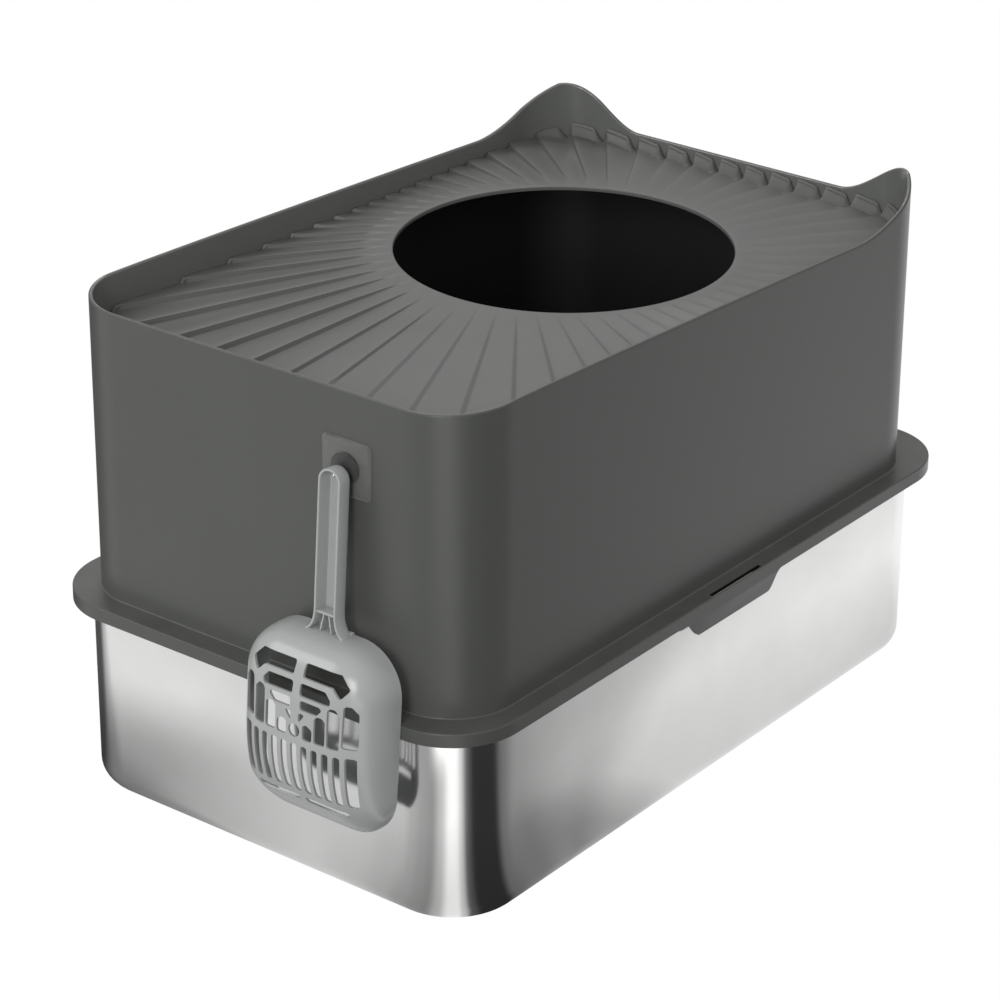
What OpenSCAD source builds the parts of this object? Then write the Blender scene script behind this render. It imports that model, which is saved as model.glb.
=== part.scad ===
// Top entry litter box: a steel pan, a moulded hood with a ribbed drop-in lid,
// two snap tabs, and a slotted scoop on a clear stick-on hook.
// Millimetres. The origin is the centre of the pan's base, on the floor.
// X runs along the box with the scoop at its -X end, and Z is up.

/* [Pan] */
// Outside length of the steel pan, without its rolled rim
pan_len = 570; // [480:1:700]
// Outside width of the steel pan, without its rolled rim
pan_w = 360; // [300:1:460]
// Height of the pan to the top of its rolled rim
pan_h = 151.9; // [100:0.1:220]
// Outside corner radius of the pan in plan
pan_corner_r = 52.5; // [35:0.5:80]
// Radius of the pan's bottom edge
pan_edge_r = 16; // [6:0.5:28]
// Thickness of the steel sheet
pan_t = 0.8; // [0.6:0.1:1.6]
// Diameter of the rolled rim
roll_d = 6; // [4.5:0.1:7]
// Slot left between the curl of the rim and the pan wall
roll_slot = 1; // [0.6:0.1:1.5]

/* [Hood wall] */
// Thickness of the hood wall
wall_t = 3; // [2:0.1:4]
// Gap between the hood wall and the inside of the pan at the short ends
drip_gap_x = 6.2; // [3:0.1:12]
// Gap between the hood wall and the inside of the pan at the long sides
drip_gap_y = 4.5; // [2:0.1:8]
// How much smaller the hood's corner radius is than the pan's
wall_r_less = 3.5; // [0:0.5:10]
// How far the wall stands off the middle of the pan, towards the scoop
wall_shift = 2; // [0:0.5:3]
// How far the drip skirt reaches below the collar's top
drip_depth = 20; // [8:1:60]
// Height of the small fillet where the wall meets the collar
base_fillet = 1.8; // [0.5:0.1:4]

/* [Rim of the hood] */
// Height of the rim above the collar at the scoop end's corners
rim_front = 218.3; // [190:0.1:260]
// Height of the rim above the collar at the middle of the scoop end
rim_front_mid = 216.3; // [185:0.1:255]
// Height of the rim above the collar where the long sides are lowest
rim_low = 198.9; // [180:0.1:240]
// Height of the rim above the collar at the far short end
rim_rear = 195.7; // [180:0.1:240]
// Height of the two ears above the collar
ear_h = 226; // [205:0.1:270]
// How slowly the long side's rim starts to fall: 1 is a straight line
fall_curve = 1.12; // [1:0.01:3]
// How slowly the rim starts to rise to an ear: 1 is a straight line
ear_curve = 1.9; // [1:0.1:4]
// Length of the rise from the long side's low point to the ear's top
ear_rise_x = 84; // [40:1:120]
// Distance of the ear's top from the hood's far end
ear_in_x = 14; // [5:1:40]
// Length of the rise from the far short end to the ear's top
ear_rise_y = 65; // [30:1:100]
// Distance of the ear's top from the hood's long side
ear_in_y = 17.7; // [5:0.1:40]

/* [Collar] */
// Thickness of the collar and its skirt
collar_t = 2.5; // [1.5:0.1:4]
// Height of the collar's outer face
skirt_h = 10; // [7:0.5:30]
// Gap between the rolled rim and the skirt at the short ends
skirt_gap_x = 7.3; // [3.5:0.1:15]
// Gap between the rolled rim and the skirt at the long sides
skirt_gap_y = 1.7; // [0.8:0.1:6]
// How much larger the collar's corner radius is than the pan's
collar_r_more = 1.5; // [0:0.5:6]
// How far the collar stands off the middle of the pan, away from the scoop
collar_shift = 3; // [0:0.5:3]

/* [Snap tabs] */
// Width of a tab where it leaves the collar
tab_top_w = 117; // [80:1:160]
// Width of a tab along its bottom edge
tab_bottom_w = 84; // [50:1:130]
// How far a tab hangs below the collar
tab_drop = 13.2; // [8:0.1:20]
// Place of the tabs along the box
tab_x = 8; // [-60:1:60]
// Length of the moulding slot above a tab
slot_len = 60; // [30:1:75]
// Width of the moulding slot
slot_w = 2.8; // [1.5:0.1:3.5]
// Plastic left outside the moulding slot
slot_skin = 1.2; // [0.8:0.1:2]
// Place of the moulding slots along the box
slot_x = 12; // [-50:1:50]
// Height of the ridge on the inside of a tab
ridge_h = 3; // [1:0.1:5]
// Gap between the ridge and the rolled rim as the hood is lifted
ridge_gap = 0.3; // [0.2:0.1:1]

/* [Lid] */
// Height of the flat ring round the way in, above the collar
lid_rise = 191.8; // [150:0.1:193]
// Diameter of the round way in
hole_d = 245; // [180:1:260]
// Place of the way in along the box
hole_x = 55.8; // [0:0.1:90]
// Thickness of the lid
lid_t = 2.5; // [1.5:0.1:4]
// Depth of the turned-down lip round the way in
lip_h = 6; // [3.5:0.5:12]
// Width of the flat ring round the way in
ring_w = 25; // [8:1:30]
// Number of ribs
rib_count = 58; // [24:1:80]
// Height of a rib's step at the wall
rib_step = 4.4; // [1:0.1:8]
// Share of a rib's pitch that its steep face takes
rib_riser = 0.06; // [0.03:0.01:0.3]
// Share of a rib's height that its crown has reached half way across
rib_crown = 0.64; // [0.5:0.01:0.8]
// Radius of the circle that the ribs' lines touch, which gives their swirl
rib_swirl_r = 32; // [0:1:60]
// Rise of the ribs at the wall of the scoop end, above the flat ring
rib_front_up = 1.5; // [0:0.1:6]
// Fall of the ribs at the wall of the far end, below the flat ring
rib_rear_down = 7.5; // [0:0.1:10]
// Depth of the lid's edge below the flat ring
lid_edge_h = 18.5; // [14:0.5:40]
// Gap round the lid's edge
lid_gap = 0.3; // [0.2:0.1:1]
// Width of the ledge that the lid rests on
ledge_w = 8; // [5:0.5:15]
// Thickness of the ledge
ledge_t = 2.5; // [1.5:0.1:4]

/* [Hook] */
// Side of the clear square plate
plate_side = 40; // [30:1:60]
// Corner radius of the plate
plate_r = 4; // [2:0.5:10]
// Thickness of the plate
plate_t = 1.2; // [0.8:0.1:3]
// Thickness of the sticky film
film_t = 0.5; // [0.3:0.1:1.5]
// How far the film stays inside the plate's edge
film_inset = 0.6; // [0:0.1:2]
// Radius of the round boss
boss_r = 11; // [9:0.5:14]
// Height of the boss
boss_h = 2.6; // [2:0.1:8]
// How far the hook stands off the middle of the wall
hook_y = 79.3; // [40:0.1:110]
// Height of the plate's middle above the collar
hook_rise = 163.5; // [130:0.1:165]
// Diameter of the steel peg
peg_d = 2.6; // [2:0.1:3.2]
// Rise of the peg's free end above the level
peg_angle = 30; // [15:1:40]
// Depth of the peg's root in the boss
peg_root = 1.9; // [1.5:0.1:1.9]
// Reach of the peg past the back of the scoop's handle
peg_reach = 8; // [5:0.5:10]

/* [Scoop] */
// How far the peg and the scoop stand off the plate's middle
peg_off = 1.1; // [-5:0.1:5]
// Whole length of the scoop
scoop_len = 246; // [236:1:300]
// Width of the basket across its rims
scoop_w = 115; // [104:1:140]
// Depth of the basket
scoop_depth = 38.4; // [30:0.1:60]
// Wall of the basket and the handle
scoop_t = 2; // [1.4:0.1:3]
// Radius of the long edges of the basket's floor
floor_edge_r = 14; // [5:0.5:16]
// Half width of the flat part of the floor
floor_flat = 38; // [28:0.5:40]
// Radius of the basket's upright corners at the handle end
heel_r = 34; // [10:1:40]
// Radius of the edge between the basket's end wall and its floor
heel_edge_r = 12; // [4:0.5:14]
// Radius of the basket's upright corners at the lip
toe_r = 26; // [8:1:35]
// Radius in which the side walls end at the lip, seen from the side
toe_side_r = 17; // [8:0.5:18]
// Distance from the handle's top to the basket
handle_len = 115; // [90:1:125]
// Distance from the basket's end wall to the start of the floor's curve
flat_len = 70; // [50:1:75]
// Radius of the floor's curve
curve_r = 118; // [110:1:300]
// Width of the handle
handle_w = 18.4; // [15:0.1:28]
// Depth of the handle's channel
handle_depth = 12.4; // [9:0.1:20]
// Radius of the handle's back edges
handle_back_r = 3.5; // [2.5:0.1:6]
// Length of the flare at the handle's root
flare_len = 12; // [4:0.5:25]
// Width that the flare adds on each side
flare_w = 6.5; // [0:0.5:15]
// Distance from the basket to the cross rib in the handle
cross_rib_up = 14.3; // [13:0.1:40]
// Slant of the two thin ribs below the cross rib
thin_rib_slant = 12; // [0:1:20]
// Diameter of the hanging hole
hang_d = 5.6; // [5:0.1:7]
// Distance of the hanging hole from the handle's top
hang_v = 9; // [7.5:0.1:14]
// Height of the handle's top above the collar
scoop_rise = 166.8; // [140:0.1:168]

/* [Scoop slots] */
// Gap from the middle line to the slots in rows
slot_mid_gap = 3.4; // [2:0.1:6]
// Distance from the basket's end wall to the first row of slots
row_start = 13; // [12:0.1:16]
// Height of the first row's slots
row_h = 9.6; // [7:0.1:10]
// How much lower each next row's slots are
row_h_less = 1.3; // [0.5:0.05:1.6]
// Bar between the first two rows
row_gap = 3.6; // [3:0.1:5]
// How much thinner each next bar between rows is
row_gap_less = 0.5; // [0:0.1:0.9]
// Reach of the first row's slots from the middle line, up to their bend
row_reach_1 = 33; // [30:0.1:34]
// Length of the bent ends of the first row's slots
row_arm = 11.7; // [4:0.1:12]
// Reach of the second row's slots
row_reach_2 = 28.5; // [20:0.1:29]
// Reach of the third row's slots
row_reach_3 = 21.5; // [14:0.1:22]
// Reach of the fourth row's slots
row_reach_4 = 8; // [6:0.1:10]
// Slant of the second row's outer ends, which the next rows have less of
row_slant = 4.5; // [0:0.1:5]
// Distance from the basket's end wall to the upright slots' lower ends
column_end = 65; // [64:0.1:68]
// Distance from the middle line to the first upright slot
column_first = 6.6; // [5:0.1:7]
// Width of an upright slot
column_w = 8.6; // [5:0.1:8.8]
// Pitch of the upright slots
column_pitch = 10.3; // [9.6:0.1:10.6]
// Height of the first upright slot
column_h = 9.7; // [8:0.1:12]
// How much taller each next upright slot is
column_h_more = 9.6; // [6:0.1:9.8]
// How much shorter the outermost upright slots are than that
column_edge_less = 6; // [4:0.1:10]
// Slant across the upright slots' outer top corners
column_slant = 3; // [0:0.1:4]
// Radius of the round hole in the middle
centre_hole_r = 4.4; // [2:0.1:4.6]
// Distance from the round hole to the upright slots' lower ends
centre_hole_up = 4.8; // [4.5:0.1:7]
// Number of narrow slots in the lip's row, beside its two wide ones
comb_count = 9; // [5:2:11]
// Width of the narrow slots
comb_w = 5.2; // [2:0.1:6]
// Pitch of the narrow slots
comb_pitch = 8.5; // [7:0.1:9]
// Width of the two wide slots at the ends of that row
comb_end_w = 7; // [3:0.1:8]
// Bar between the upright slots and the lip's row
comb_gap = 4.9; // [4:0.1:7]
// Length of the lip's row of slots
comb_len = 37; // [30:0.1:38]
// Bar between the lip's row and the two thin slots
lip_gap = 5.2; // [2:0.1:6]
// Height of the two thin slots by the lip
lip_slot_h = 4.2; // [1.5:0.1:5]
// Reach of the two thin slots from the middle line
lip_slot_reach = 38; // [30:0.5:40]

/* [Fits] */
// Gap between pieces that rest on each other
seat_gap = 0.3; // [0.2:0.05:0.6]
// Gap between the boss and the scoop's back
hook_gap = 0.5; // [0.3:0.1:1]

/* [Hidden] */
$fn = 96;
cut = 1; // how far a cutter runs past what it cuts

roll_r = roll_d / 2;
roll_out = roll_d - pan_t; // reach of the roll outside the pan wall

collar_len = pan_len + 2 * (roll_out + skirt_gap_x + collar_t);
collar_w = pan_w + 2 * (roll_out + skirt_gap_y + collar_t);
collar_r = pan_corner_r + collar_r_more;
collar_top = pan_h + seat_gap + collar_t;
collar_low = collar_top - skirt_h;
edge_r = collar_t; // rounding of the collar's outer top edge
collar_face_y = collar_w / 2;
collar_end_x = collar_shift - collar_len / 2;

wall_len = pan_len - 2 * (pan_t + drip_gap_x);
wall_w = pan_w - 2 * (pan_t + drip_gap_y);
wall_r = pan_corner_r - wall_r_less;
wall_face_x = -wall_len / 2 - wall_shift; // the wall that carries the hook
wall_far_x = wall_len / 2 - wall_shift;
wall_z0 = collar_top - drip_depth;
rim_z = collar_top + ear_h;

lid_z = collar_top + lid_rise;
lid_foot = lid_z - lid_edge_h;
lid_half_x = wall_len / 2 - wall_t - lid_gap;
lid_half_y = wall_w / 2 - wall_t - lid_gap;
lid_r = wall_r - wall_t - lid_gap;
hole_r = hole_d / 2;
rib_start = hole_r + ring_w;

hook_z = collar_top + hook_rise;
film_x = wall_face_x;
plate_x = film_x - film_t;
boss_x = plate_x - plate_t;
boss_front = boss_x - boss_h;

// The scoop hangs on the peg and leans on the collar's rounded top edge.
scoop_x = boss_front - hook_gap;
scoop_z = collar_top + scoop_rise;
lean_x = scoop_x - (collar_end_x + edge_r);
lean_z = scoop_z - (collar_top - edge_r);
lean = atan(lean_x / lean_z) + asin((edge_r + seat_gap) / sqrt(lean_x ^ 2 + lean_z ^ 2));

// The peg, in the scoop's own frame: x across, y up the handle, z outwards.
peg_tilt = peg_angle - lean;
peg_v = hang_v - 0.5; // where the peg crosses the middle of the handle's back
boss_w = -hook_gap - peg_v * sin(lean); // the boss's face at the peg
bend_w = boss_w / 2;
bend_v = peg_v + (scoop_t / 2 - bend_w) * tan(peg_tilt);
bend_more = 0.1; // how much thicker the bend is
bend_lap = 0.2; // how far the bend takes in the straight ends

basket_half = scoop_w / 2;
curve_start = handle_len + flat_len;

// Lean of the basket's side walls, which run on from the floor's edges.
side_in = basket_half - floor_flat;
corner_bite = 0.05; // how far a round corner runs past the faces that it joins
edge_up = scoop_depth - floor_edge_r + corner_bite; // the middle of the floor's long edges
floor_draft = atan(side_in / edge_up) - asin(floor_edge_r / sqrt(side_in ^ 2 + edge_up ^ 2));

// A flat plate with round corners, on the middle of the box.
module round_plate(l, w, r) {
  square([l - 2 * r, w], center = true);
  square([l, w - 2 * r], center = true);
  for (sx = [-1, 1], sy = [-1, 1])
    translate([sx * (l / 2 - r), sy * (w / 2 - r)])
      circle(r = r);
}

// An upright wall round a plate of that shape.
module round_ring(l, w, r, t, h) {
  linear_extrude(h)
    difference() {
      round_plate(l, w, r);
      round_plate(l - 2 * t, w - 2 * t, r - t);
    }
}

// A profile carried round a plate of that shape. In the profile, x is the
// distance outwards from the centres of the corners and y is the height.
module round_sweep(l, w, r) {
  for (s = [0, 1]) {
    rotate(180 * s)
      translate([0, w / 2 - r, 0])
        rotate([90, 0, 90])
          linear_extrude(l - 2 * r, center = true)
            children();
    rotate(180 * s)
      translate([l / 2 - r, 0, 0])
        rotate([90, 0, 0])
          linear_extrude(w - 2 * r, center = true)
            children();
  }
  for (c = [[1, 1, 0], [-1, 1, 90], [-1, -1, 180], [1, -1, 270]])
    translate([c[0] * (l / 2 - r), c[1] * (w / 2 - r), 0])
      rotate(c[2])
        rotate_extrude(angle = 90)
          children();
}

// Section of the pan's wall: rounded bottom edge, upright wall, curled rim.
module pan_section() {
  foot = pan_corner_r - pan_edge_r;
  intersection() {
    difference() {
      translate([foot, pan_edge_r])
        circle(r = pan_edge_r);
      translate([foot, pan_edge_r])
        circle(r = pan_edge_r - pan_t);
    }
    translate([foot, 0])
      square([pan_edge_r, pan_edge_r]);
  }
  translate([pan_corner_r - pan_t, pan_edge_r])
    square([pan_t, pan_h - roll_r - pan_edge_r]);
  difference() {
    translate([pan_corner_r - pan_t + roll_r, pan_h - roll_r])
      circle(r = roll_r);
    translate([pan_corner_r - pan_t + roll_r, pan_h - roll_r])
      circle(r = roll_r - pan_t);
    translate([pan_corner_r, pan_h - roll_d - cut])
      square([roll_slot, roll_r + cut]);
  }
}

module litter_pan() {
  color("silver") {
    round_sweep(pan_len, pan_w, pan_corner_r)
      pan_section();
    linear_extrude(pan_t)
      round_plate(pan_len - 2 * pan_edge_r, pan_w - 2 * pan_edge_r, pan_corner_r - pan_edge_r);
  }
}

function ease(t) = t <= 0 ? 0 : t >= 1 ? 1 : t * t * (3 - 2 * t);

// Height of the rim along the box, above the collar.
ear_x1 = wall_far_x - ear_in_x;
ear_x0 = ear_x1 - ear_rise_x;
front_x = wall_face_x + wall_r;
function long_rim(x) =
  x < front_x ? rim_front - (rim_front - rim_front_mid) * ((front_x - x) / wall_r) ^ 2 :
  x < ear_x0 ? rim_front - (rim_front - rim_low) * ((x - front_x) / (ear_x0 - front_x)) ^ fall_curve :
  x < ear_x1 ? rim_low + (ear_h - rim_low) * ((x - ear_x0) / ear_rise_x) ^ ear_curve : ear_h;

// Height of the rim across the far end, above the collar.
ear_y1 = wall_w / 2 - ear_in_y;
ear_y0 = ear_y1 - ear_rise_y;
function short_rim(y) = rim_rear + (ear_h - rim_rear) * ease((abs(y) - ear_y0) / ear_rise_y);

// What is cut from the top of the wall, to leave the rim.
module rim_cutter() {
  steps = 48;
  span = wall_len + 2 * cut;
  x0 = wall_face_x - cut;
  over = ear_h + 2 * cut;
  long_points = [for (i = [0:steps]) let (x = x0 + span * i / steps) [x, long_rim(x)]];
  translate([0, 0, collar_top])
    rotate([90, 0, 0])
      linear_extrude(wall_w + 2 * cut, center = true)
        polygon(concat(long_points, [[x0 + span, over], [x0, over]]));
  half = wall_w / 2 + cut;
  short_points = [for (i = [0:steps]) let (y = half * (2 * i / steps - 1)) [y, short_rim(y)]];
  translate([ear_x0, 0, collar_top])
    rotate([90, 0, 90])
      linear_extrude(wall_far_x - ear_x0 + cut)
        polygon(concat(short_points, [[half, over], [-half, over]]));
}

// Section of the collar's edge: rounded top edge and upright skirt.
module collar_section() {
  top_w = 3 * collar_t;
  translate([collar_r - top_w, -collar_t])
    square([top_w - edge_r, collar_t]);
  translate([collar_r - collar_t, -skirt_h])
    square([collar_t, skirt_h - edge_r]);
  intersection() {
    translate([collar_r - edge_r, -edge_r])
      circle(r = edge_r);
    translate([collar_r - edge_r, -edge_r])
      square([edge_r, edge_r]);
  }
}

module tab_slots() {
  for (s = [-1, 1])
    translate([slot_x, s * (collar_face_y - slot_skin - slot_w / 2), collar_top])
      cube([slot_len, slot_w, 2 * (skirt_h - 2 * collar_t)], center = true);
}

module hood() {
  color("dimgray")
    difference() {
      union() {
        translate([-wall_shift, 0, wall_z0])
          difference() {
            round_ring(wall_len, wall_w, wall_r, wall_t, rim_z - wall_z0);
            translate([wall_shift, 0, -wall_z0])
              rim_cutter();
          }
        translate([-wall_shift, 0, lid_foot - seat_gap - ledge_t])
          round_ring(wall_len - wall_t, wall_w - wall_t, wall_r - wall_t / 2,
            ledge_w + wall_t / 2, ledge_t);
        translate([-wall_shift, 0, collar_top])
          round_sweep(wall_len, wall_w, wall_r)
            polygon([[wall_r - wall_t / 2, -collar_t / 2], [wall_r + base_fillet, -collar_t / 2],
              [wall_r + base_fillet, 0], [wall_r, base_fillet], [wall_r - wall_t / 2, base_fillet]]);
        translate([0, 0, collar_top - collar_t])
          linear_extrude(collar_t)
            difference() {
              translate([collar_shift, 0])
                round_plate(collar_len - 2 * edge_r, collar_w - 2 * edge_r, collar_r - edge_r);
              translate([-wall_shift, 0])
                round_plate(wall_len - wall_t, wall_w - wall_t, wall_r - wall_t / 2);
            }
        translate([collar_shift, 0, collar_top])
          round_sweep(collar_len, collar_w, collar_r)
            collar_section();
      }
      tab_slots();
    }
}

// Outline of a tab, hanging from the collar's lower edge.
module tab_outline() {
  steps = 10;
  flare = (tab_top_w - tab_bottom_w) / 2;
  side = [for (i = [0:steps]) [tab_top_w / 2 - flare * i / steps, -tab_drop * ease(i / steps)]];
  polygon(concat(side, [for (i = [steps:-1:0]) [-side[i][0], side[i][1]]]));
}

// A tab on the side that s names, with the ridge that rides under the rolled rim.
module snap_tab(s) {
  ridge_w = skirt_gap_y - ridge_gap;
  translate([tab_x, s * (collar_face_y - collar_t / 2), collar_low])
    rotate([90, 0, 0])
      linear_extrude(collar_t, center = true)
        tab_outline();
  translate([slot_x, s * (collar_face_y - collar_t - ridge_w / 2), collar_low - tab_drop / 2])
    cube([slot_len, ridge_w, ridge_h], center = true);
}

module near_snap_tab() {
  color("dimgray")
    snap_tab(-1);
}

module far_snap_tab() {
  color("dimgray")
    snap_tab(1);
}

// The ribbed surface. Each rib runs along a line that touches the swirl circle
// round the middle of the way in. A column is the lid's section on such a line.
rib_pitch = 360 / rib_count;
column_share = [0, 0.5, 1 - rib_riser];
column_rise = [0, rib_crown, 1];
columns = 3 * rib_count;
function column_angle(i) = rib_pitch * (floor(i / 3) + column_share[i % 3]);

// Start of a column's line, from the middle of the lid, and its length to the edge.
function line_start(a) = [hole_x + wall_shift + rib_swirl_r * sin(a), -rib_swirl_r * cos(a)];
function side_reach(from, d, half) = abs(d) < 1e-6 ? 1e6 : (sign(d) * half - from) / d;
function corner_reach(m, d) = -m * d + sqrt((m * d) ^ 2 - m * m + lid_r ^ 2);
function reach(a) = let (
    b = line_start(a),
    d = [cos(a), sin(a)],
    t = min(side_reach(b[0], d[0], lid_half_x), side_reach(b[1], d[1], lid_half_y)),
    p = b + t * d,
    c = [sign(p[0]) * (lid_half_x - lid_r), sign(p[1]) * (lid_half_y - lid_r)]
  )
  abs(p[0]) > abs(c[0]) && abs(p[1]) > abs(c[1]) ? corner_reach(b - c, d) : t;
function line_point(a, t) = line_start(a) + t * [cos(a), sin(a)];
function at_radius(r) = sqrt(r ^ 2 - rib_swirl_r ^ 2);
function wall_level(x) = rib_front_up
  - (rib_front_up + rib_rear_down) * (x + lid_half_x) / (2 * lid_half_x);

// The column's section, from the way in round to the lid's edge and back below.
function column(i) = let (
    a = column_angle(i),
    t1 = at_radius(rib_start),
    t2 = reach(a),
    end = line_point(a, t2),
    up = wall_level(end[0]) + rib_step * (column_rise[i % 3] - 0.5),
    t3 = t2 - lid_t,
    up3 = up * (t3 - t1) / (t2 - t1)
  )
  [
    concat(line_point(a, at_radius(hole_r)), 0),
    concat(line_point(a, t1), 0),
    concat(end, up),
    concat(end, -lid_edge_h),
    concat(line_point(a, t3), -lid_edge_h),
    concat(line_point(a, t3), up3 - lid_t),
    concat(line_point(a, t1), -lid_t),
    concat(line_point(a, at_radius(hole_r + lid_t)), -lid_t),
    concat(line_point(a, at_radius(hole_r + lid_t)), -lip_h),
    concat(line_point(a, at_radius(hole_r)), -lip_h)
  ];

module entry_lid() {
  rows = 10;
  points = [for (i = [0:columns - 1]) each column(i)];
  faces = [for (i = [0:columns - 1], k = [0:rows - 1]) let (
      j = (i + 1) % columns,
      n = (k + 1) % rows
    )
    each [
      [i * rows + k, j * rows + n, i * rows + n],
      [i * rows + k, j * rows + k, j * rows + n]
    ]];
  color("gray")
    translate([-wall_shift, 0, lid_z])
      polyhedron(points, faces);
}

// A square with round corners, upright on the hook's wall.
module on_hook_wall(x, z, h) {
  translate([x, -hook_y, z])
    rotate([0, -90, 0])
      linear_extrude(h)
        children();
}

module hook_adhesive() {
  color("whitesmoke")
    on_hook_wall(film_x, hook_z, film_t)
      round_plate(plate_side - 2 * film_inset, plate_side - 2 * film_inset, plate_r - film_inset);
}

module hook_plate() {
  color("lightcyan")
    on_hook_wall(plate_x, hook_z, plate_t)
      round_plate(plate_side, plate_side, plate_r);
}

module hook_boss() {
  color("lightblue")
    difference() {
      on_hook_wall(boss_x, hook_z, boss_h)
        circle(r = boss_r);
      on_scoop()
        translate([0, -bend_v, boss_w - peg_root - seat_gap])
          cylinder(d = peg_d + 2 * seat_gap, h = peg_root + seat_gap + cut);
    }
}

// Carries the scoop's own frame to the place where the scoop hangs.
module on_scoop() {
  translate([scoop_x, peg_off - hook_y, scoop_z])
    rotate([0, lean, 0])
      rotate([90, 0, -90])
        children();
}

// The peg's root turns in the boss. Its free end rises, and the two meet in a
// bend, which is a hair thicker and takes their ends in.
module hook_peg() {
  bend_run = peg_d * tan(peg_tilt / 2);
  root_len = bend_w - bend_run - boss_w + peg_root;
  color("gray")
    on_scoop()
      translate([0, -bend_v, bend_w - bend_run]) {
        translate([0, 0, -root_len])
          cylinder(d = peg_d, h = root_len + bend_lap);
        translate([0, peg_d, 0])
          rotate([90, 0, -90])
            rotate_extrude(angle = peg_tilt)
              translate([peg_d, 0])
                circle(d = peg_d + bend_more);
        translate([0, bend_run * sin(peg_tilt), bend_run + bend_run * cos(peg_tilt)])
          rotate([-peg_tilt, 0, 0])
            translate([0, 0, -bend_lap])
              cylinder(d = peg_d, h = (peg_reach - bend_w) / cos(peg_tilt) - bend_run + bend_lap);
      }
}

// The basket as one solid, drawn in by e on every face: its cross section,
// its side view and its round corners, each carried straight through, leave it.
module basket_section(e) {
  r = floor_edge_r - e;
  tip = [floor_flat + r * cos(floor_draft), edge_up + r * sin(floor_draft)];
  rim = [basket_half - e / cos(floor_draft) + cut * tan(floor_draft), -cut];
  polygon([rim, tip, [floor_flat, edge_up + r], [-floor_flat, edge_up + r],
    [-tip[0], tip[1]], [-rim[0], rim[1]]]);
  for (s = [-1, 1])
    translate([s * floor_flat, edge_up])
      circle(r = r);
}

module basket_side(e) {
  r = heel_edge_r - e;
  low = e > 0 ? -cut : 0;
  toe = scoop_len - e;
  toe_r = e > 0 ? scoop_t : toe_side_r;
  translate([handle_len + heel_edge_r, low])
    square([flat_len - heel_edge_r, scoop_depth - e - low]);
  translate([handle_len + e, low])
    square([heel_edge_r, scoop_depth - heel_edge_r - low]);
  translate([handle_len + heel_edge_r, scoop_depth - heel_edge_r])
    circle(r = r);
  intersection() {
    translate([curve_start, scoop_depth - curve_r])
      circle(r = curve_r - e, $fn = 360);
    union() {
      translate([curve_start, low])
        square([toe - toe_r - curve_start, scoop_depth - low]);
      translate([curve_start, low + toe_r])
        square([toe - curve_start, scoop_depth - low - toe_r]);
      translate([toe - toe_r, low + toe_r])
        circle(r = toe_r);
    }
  }
}

// A round upright corner of the basket, leaning with the side wall that s names.
module basket_corner(s, r, v, e) {
  translate([s * (basket_half - (r - corner_bite) / cos(floor_draft)), -v, 0])
    rotate([0, -s * floor_draft, 0])
      translate([0, 0, -2 * floor_edge_r])
        cylinder(r = r - e, h = scoop_depth + 4 * floor_edge_r);
}

// The space between two corners of that radius.
module between_corners(r, v0, v1) {
  half = basket_half - (r - corner_bite) / cos(floor_draft);
  low = half + cut * tan(floor_draft);
  high = half - (scoop_depth + cut) * tan(floor_draft);
  translate([0, -v0, 0])
    rotate([90, 0, 0])
      linear_extrude(v1 - v0)
        polygon([[-low, -cut], [low, -cut], [high, scoop_depth + cut], [-high, scoop_depth + cut]]);
}

module basket_corners(e) {
  heel_v = handle_len + heel_r - corner_bite;
  toe_v = scoop_len - toe_r + corner_bite;
  translate([-scoop_w, -toe_v, -2 * cut])
    cube([2 * scoop_w, toe_v - heel_v, scoop_depth + 4 * cut]);
  between_corners(heel_r, handle_len - cut, heel_v + cut);
  between_corners(toe_r, toe_v - cut, scoop_len + cut);
  for (s = [-1, 1]) {
    basket_corner(s, heel_r, heel_v, e);
    basket_corner(s, toe_r, toe_v, e);
  }
}

module basket_solid(e) {
  intersection() {
    rotate([90, 0, 0])
      linear_extrude(scoop_len + 2 * cut)
        basket_section(e);
    rotate([90, 0, -90])
      linear_extrude(2 * scoop_w, center = true)
        basket_side(e);
    basket_corners(e);
  }
}

// Half of the handle's cross section, drawn in by e and open on its outer side.
module handle_section(e) {
  half = handle_w / 2 - e;
  r = handle_back_r - e;
  top = e > 0 ? handle_depth + cut : handle_depth;
  translate([0, e])
    square([half - r, top - e]);
  translate([0, handle_back_r])
    square([half, top - handle_back_r]);
  intersection() {
    translate([half - r, handle_back_r])
      circle(r = r);
    square([half, handle_back_r]);
  }
}

// The handle's flare in plan, drawn in by e.
module root_plan(e) {
  half = handle_w / 2 - e;
  top = handle_len - flare_len;
  root = handle_len + scoop_t / 2;
  polygon([[-half, -top], [half, -top], [half + flare_w, -handle_len],
    [half + flare_w, -root], [-half - flare_w, -root], [-half - flare_w, -handle_len]]);
}

module handle_solid(e) {
  half = handle_w / 2;
  translate([0, -half, 0])
    rotate_extrude(angle = 180)
      handle_section(e);
  for (s = [0, 1])
    mirror([s, 0, 0])
      translate([0, -half, 0])
        rotate([90, 0, 0])
          linear_extrude(handle_len - flare_len - half)
            handle_section(e);
  translate([0, 0, e])
    linear_extrude(handle_depth - e + (e > 0 ? cut : 0))
      root_plan(e);
}

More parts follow.
